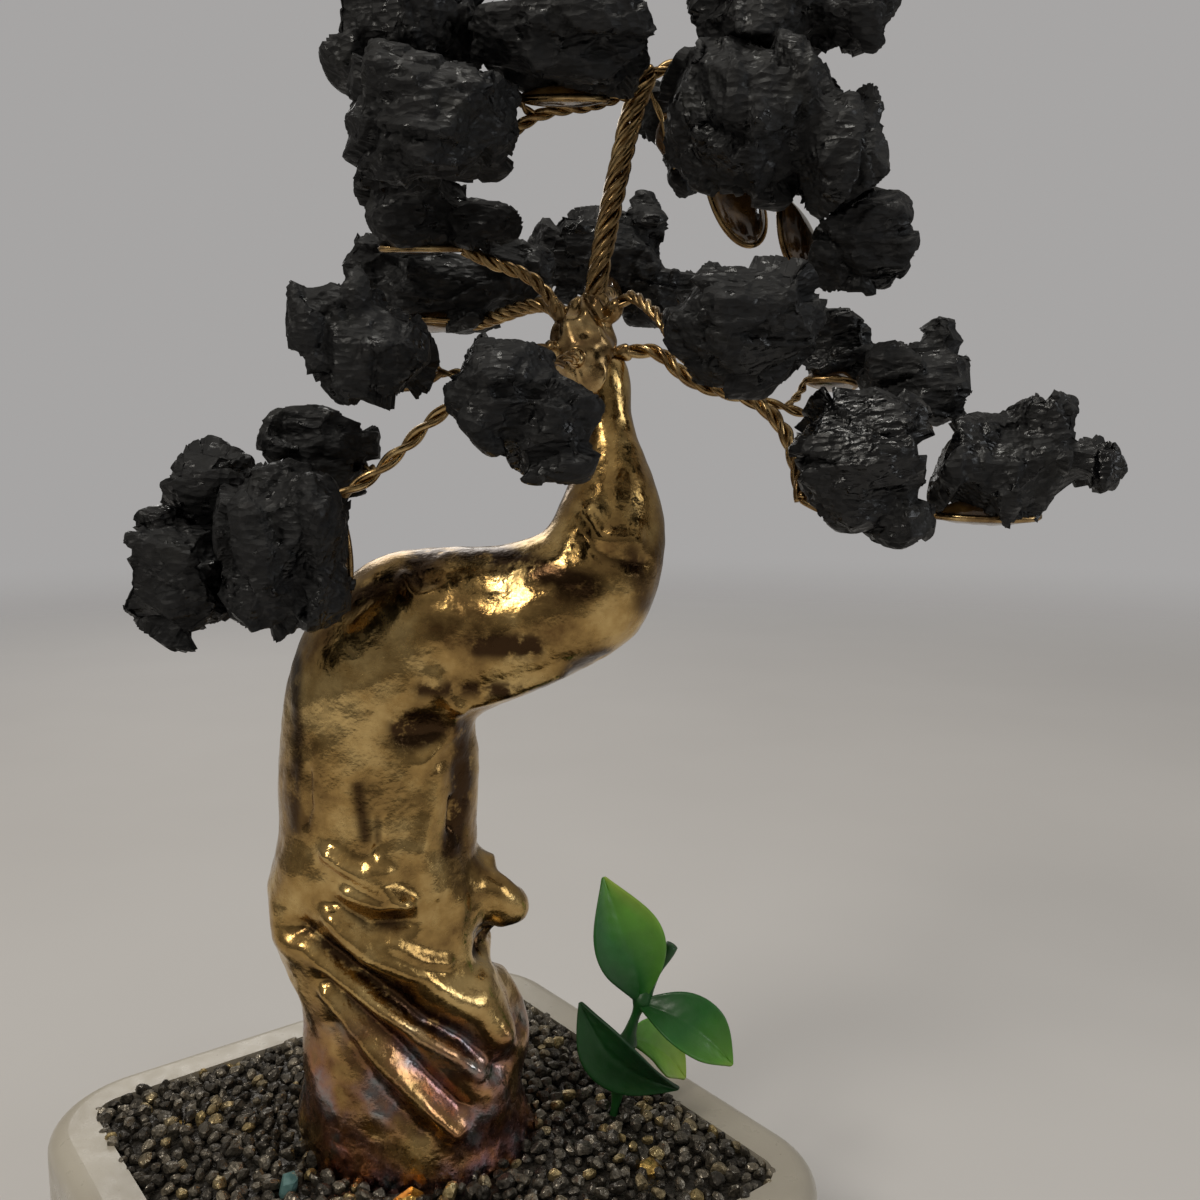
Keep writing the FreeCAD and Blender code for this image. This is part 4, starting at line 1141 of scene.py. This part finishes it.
# %% Cut the leaves
# middle line in millimetres, widths, the way the blade faces, tone at the stalk and tip with painted
# light and shade, and painted light on one edge
LEAVES = {
    "high": ([(38.4, 5.5, 54.6), (38.1, 4.1, 59.0), (36.6, 3.2, 65.2), (34.1, 3.9, 72.0),
              (31.9, 5.3, 77.6)], [1.6, 9.4, 12.8, 9.4, 0.4], (0.25, -1, 0.1), 0.30, 0.78, 0.45),
    "right": ([(38.4, 5.5, 54.2), (42.5, 3.2, 53.9), (47.2, 1.4, 52.1), (51.5, 1.0, 48.8),
               (54.5, 1.9, 44.5)], [1.6, 7.9, 10.2, 8.3, 0.5], (0.2, -0.75, 0.65), 0.15, 0.80, 0.1),
    "front": ([(27.8, 2.3, 56.0), (30.5, 0.5, 50.3), (35.0, 0.1, 45.6), (40.4, 0.5, 42.2),
               (45.2, 1.4, 40.4)], [0.5, 8.3, 11.0, 8.3, 0.5], (0.15, -0.85, -0.5), 0.10, 0.02, 0.1),
    "rear": ([(36.2, 6.4, 46.9), (38.9, 9.3, 45.1), (42.2, 11.8, 42.2), (45.2, 13.4, 38.6),
              (47.2, 14.3, 34.8)], [1.4, 8.1, 9.9, 7.4, 0.5], (0.2, -0.6, 0.78), 0.62, 1.0, 0.0),
}
LEAF_LONG = 32
LEAF_ACROSS = 14
LEAF_THICKNESS = 0.0006


def leaf_mesh(middle, widths, facing, stalk_tone, tip_tone, edge_painted_light):
    """Points and faces of one blade, and how yellow it is at each point, painted light and shade
    included.
    """
    line = rounded_route(middle, 0.0001)[0]
    share_at = np.linspace(0, 1, len(line))
    profile = rounded_route([(10 * i, width, 0) for i, width in enumerate(widths)], 0.0002)[0]
    facing = Vector(facing).normalized()
    points = []
    tones = []
    for i in range(LEAF_LONG + 1):
        share = i / LEAF_LONG
        before, spot, after = (
            Vector([np.interp(place, share_at, line[:, axis]) for axis in range(3)])
            for place in (max(share - 0.02, 0), share, min(share + 0.02, 1)))
        forward = (after - before).normalized()
        across = forward.cross(facing).normalized()
        out = across.cross(forward).normalized()
        width = max(np.interp(share, profile[:, 0] / profile[-1, 0], profile[:, 1]), 0.0004)
        width *= 0.9 + 0.16 * math.sin(math.pi * share)
        for j in range(LEAF_ACROSS + 1):
            side = j / LEAF_ACROSS * 2 - 1
            cup = side * side * width * 0.16
            rib = math.exp(-((side / 0.10) ** 2)) * 0.00035
            vein = math.cos((share * 9 - abs(side) * 1.6) * math.tau) * 0.00007 * (1 - abs(side))
            points.append(spot + across * side * width / 2 + out * (cup - rib + vein))
            # painted light and shade: the stalk and tip tones set how lit each leaf looks, and one edge
            # is painted lighter
            tone = stalk_tone + (tip_tone - stalk_tone) * share ** 1.2 + edge_painted_light * side * 0.55
            tones.append(min(max(tone, 0), 1))
    row = LEAF_ACROSS + 1
    corners = [i * row + j for i in range(LEAF_LONG) for j in range(LEAF_ACROSS)]
    faces = [(corner, corner + 1, corner + row + 1, corner + row) for corner in corners]
    return points, faces, tones


def leaf_pair(name, first, second, node):
    """Two blades that grow from the same place on the stem, as one piece."""
    points = []
    faces = []
    tones = []
    for leaf_name in (first, second):
        leaf_points, leaf_faces, leaf_tones = leaf_mesh(*LEAVES[leaf_name])
        start = len(points)
        points += leaf_points
        tones += leaf_tones
        faces += [tuple(start + corner for corner in face) for face in leaf_faces]
    piece = new_piece(name, points, faces, LEAF_PLASTIC)
    add_attribute(piece.data, "tone", tones)
    thick = piece.modifiers.new("thick", "SOLIDIFY")
    thick.thickness = LEAF_THICKNESS
    thick.offset = 0
    round_off = piece.modifiers.new("round", "SUBSURF")
    round_off.levels = 1
    round_off.render_levels = 1
    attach(piece, "tree")
    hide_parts(node)


leaf_pair("upper_leaves", "high", "right", "upper_leaf_pair")
leaf_pair("lower_leaves", "front", "rear", "lower_leaf_pair")

STEM_TONE = 0.18
stem_mesh = Mesh()
stem_line, along = rounded_route([(33.2, 5.9, 27.4), (34.4, 5.9, 37.4), (36.2, 5.9, 47.7),
                                  (39.5, 5.9, 56.8), (44.0, 5.9, 64.8)], 0.0005)
stem_radius = 0.0010 + 0.0002 * np.sin(along * 700)
for collar_height in (0.0465, 0.0545):
    stem_radius += 0.0007 * np.exp(-(((stem_line[:, 2] - collar_height) / 0.0012) ** 2))
stem_mesh.tube(stem_line, stem_radius, sides=14)
stalk_line = rounded_route([(35.8, 5.9, 46.5), (35.7, 3.2, 46.5), (35.4, 0.4, 45.6)], 0.0004)[0]
stem_mesh.tube(stalk_line, 0.0007, sides=10)
stem = new_piece("leaf_stem", stem_mesh.points, stem_mesh.faces, LEAF_PLASTIC)
add_attribute(stem.data, "tone", [STEM_TONE] * len(stem_mesh.points))
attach(stem, "tree")
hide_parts("sprig_stem")


# %% [markdown]
# ## Pieces that keep their shape
#
# The dish, the plaster under the gravel, the gravel bed, the nuggets, the chip of turquoise and
# the wire core already have their right shape. They only take on their finishes.

# %% Give the kept pieces their finishes
KEPT = {
    "dish": DISH_STONEWARE,
    "plaster_fill": PLASTER,
    "gravel_bed": PYRITE,
    "gold_nuggets": NUGGET_GOLD,
    "turquoise_chip": TURQUOISE,
    "trunk_wire_core": WIRE_GOLD,
}
for node, material in KEPT.items():
    mesh = frame["nodes"][node].data
    mesh.materials.clear()
    mesh.materials.append(material)
print("finished", len(KEPT), "kept pieces")
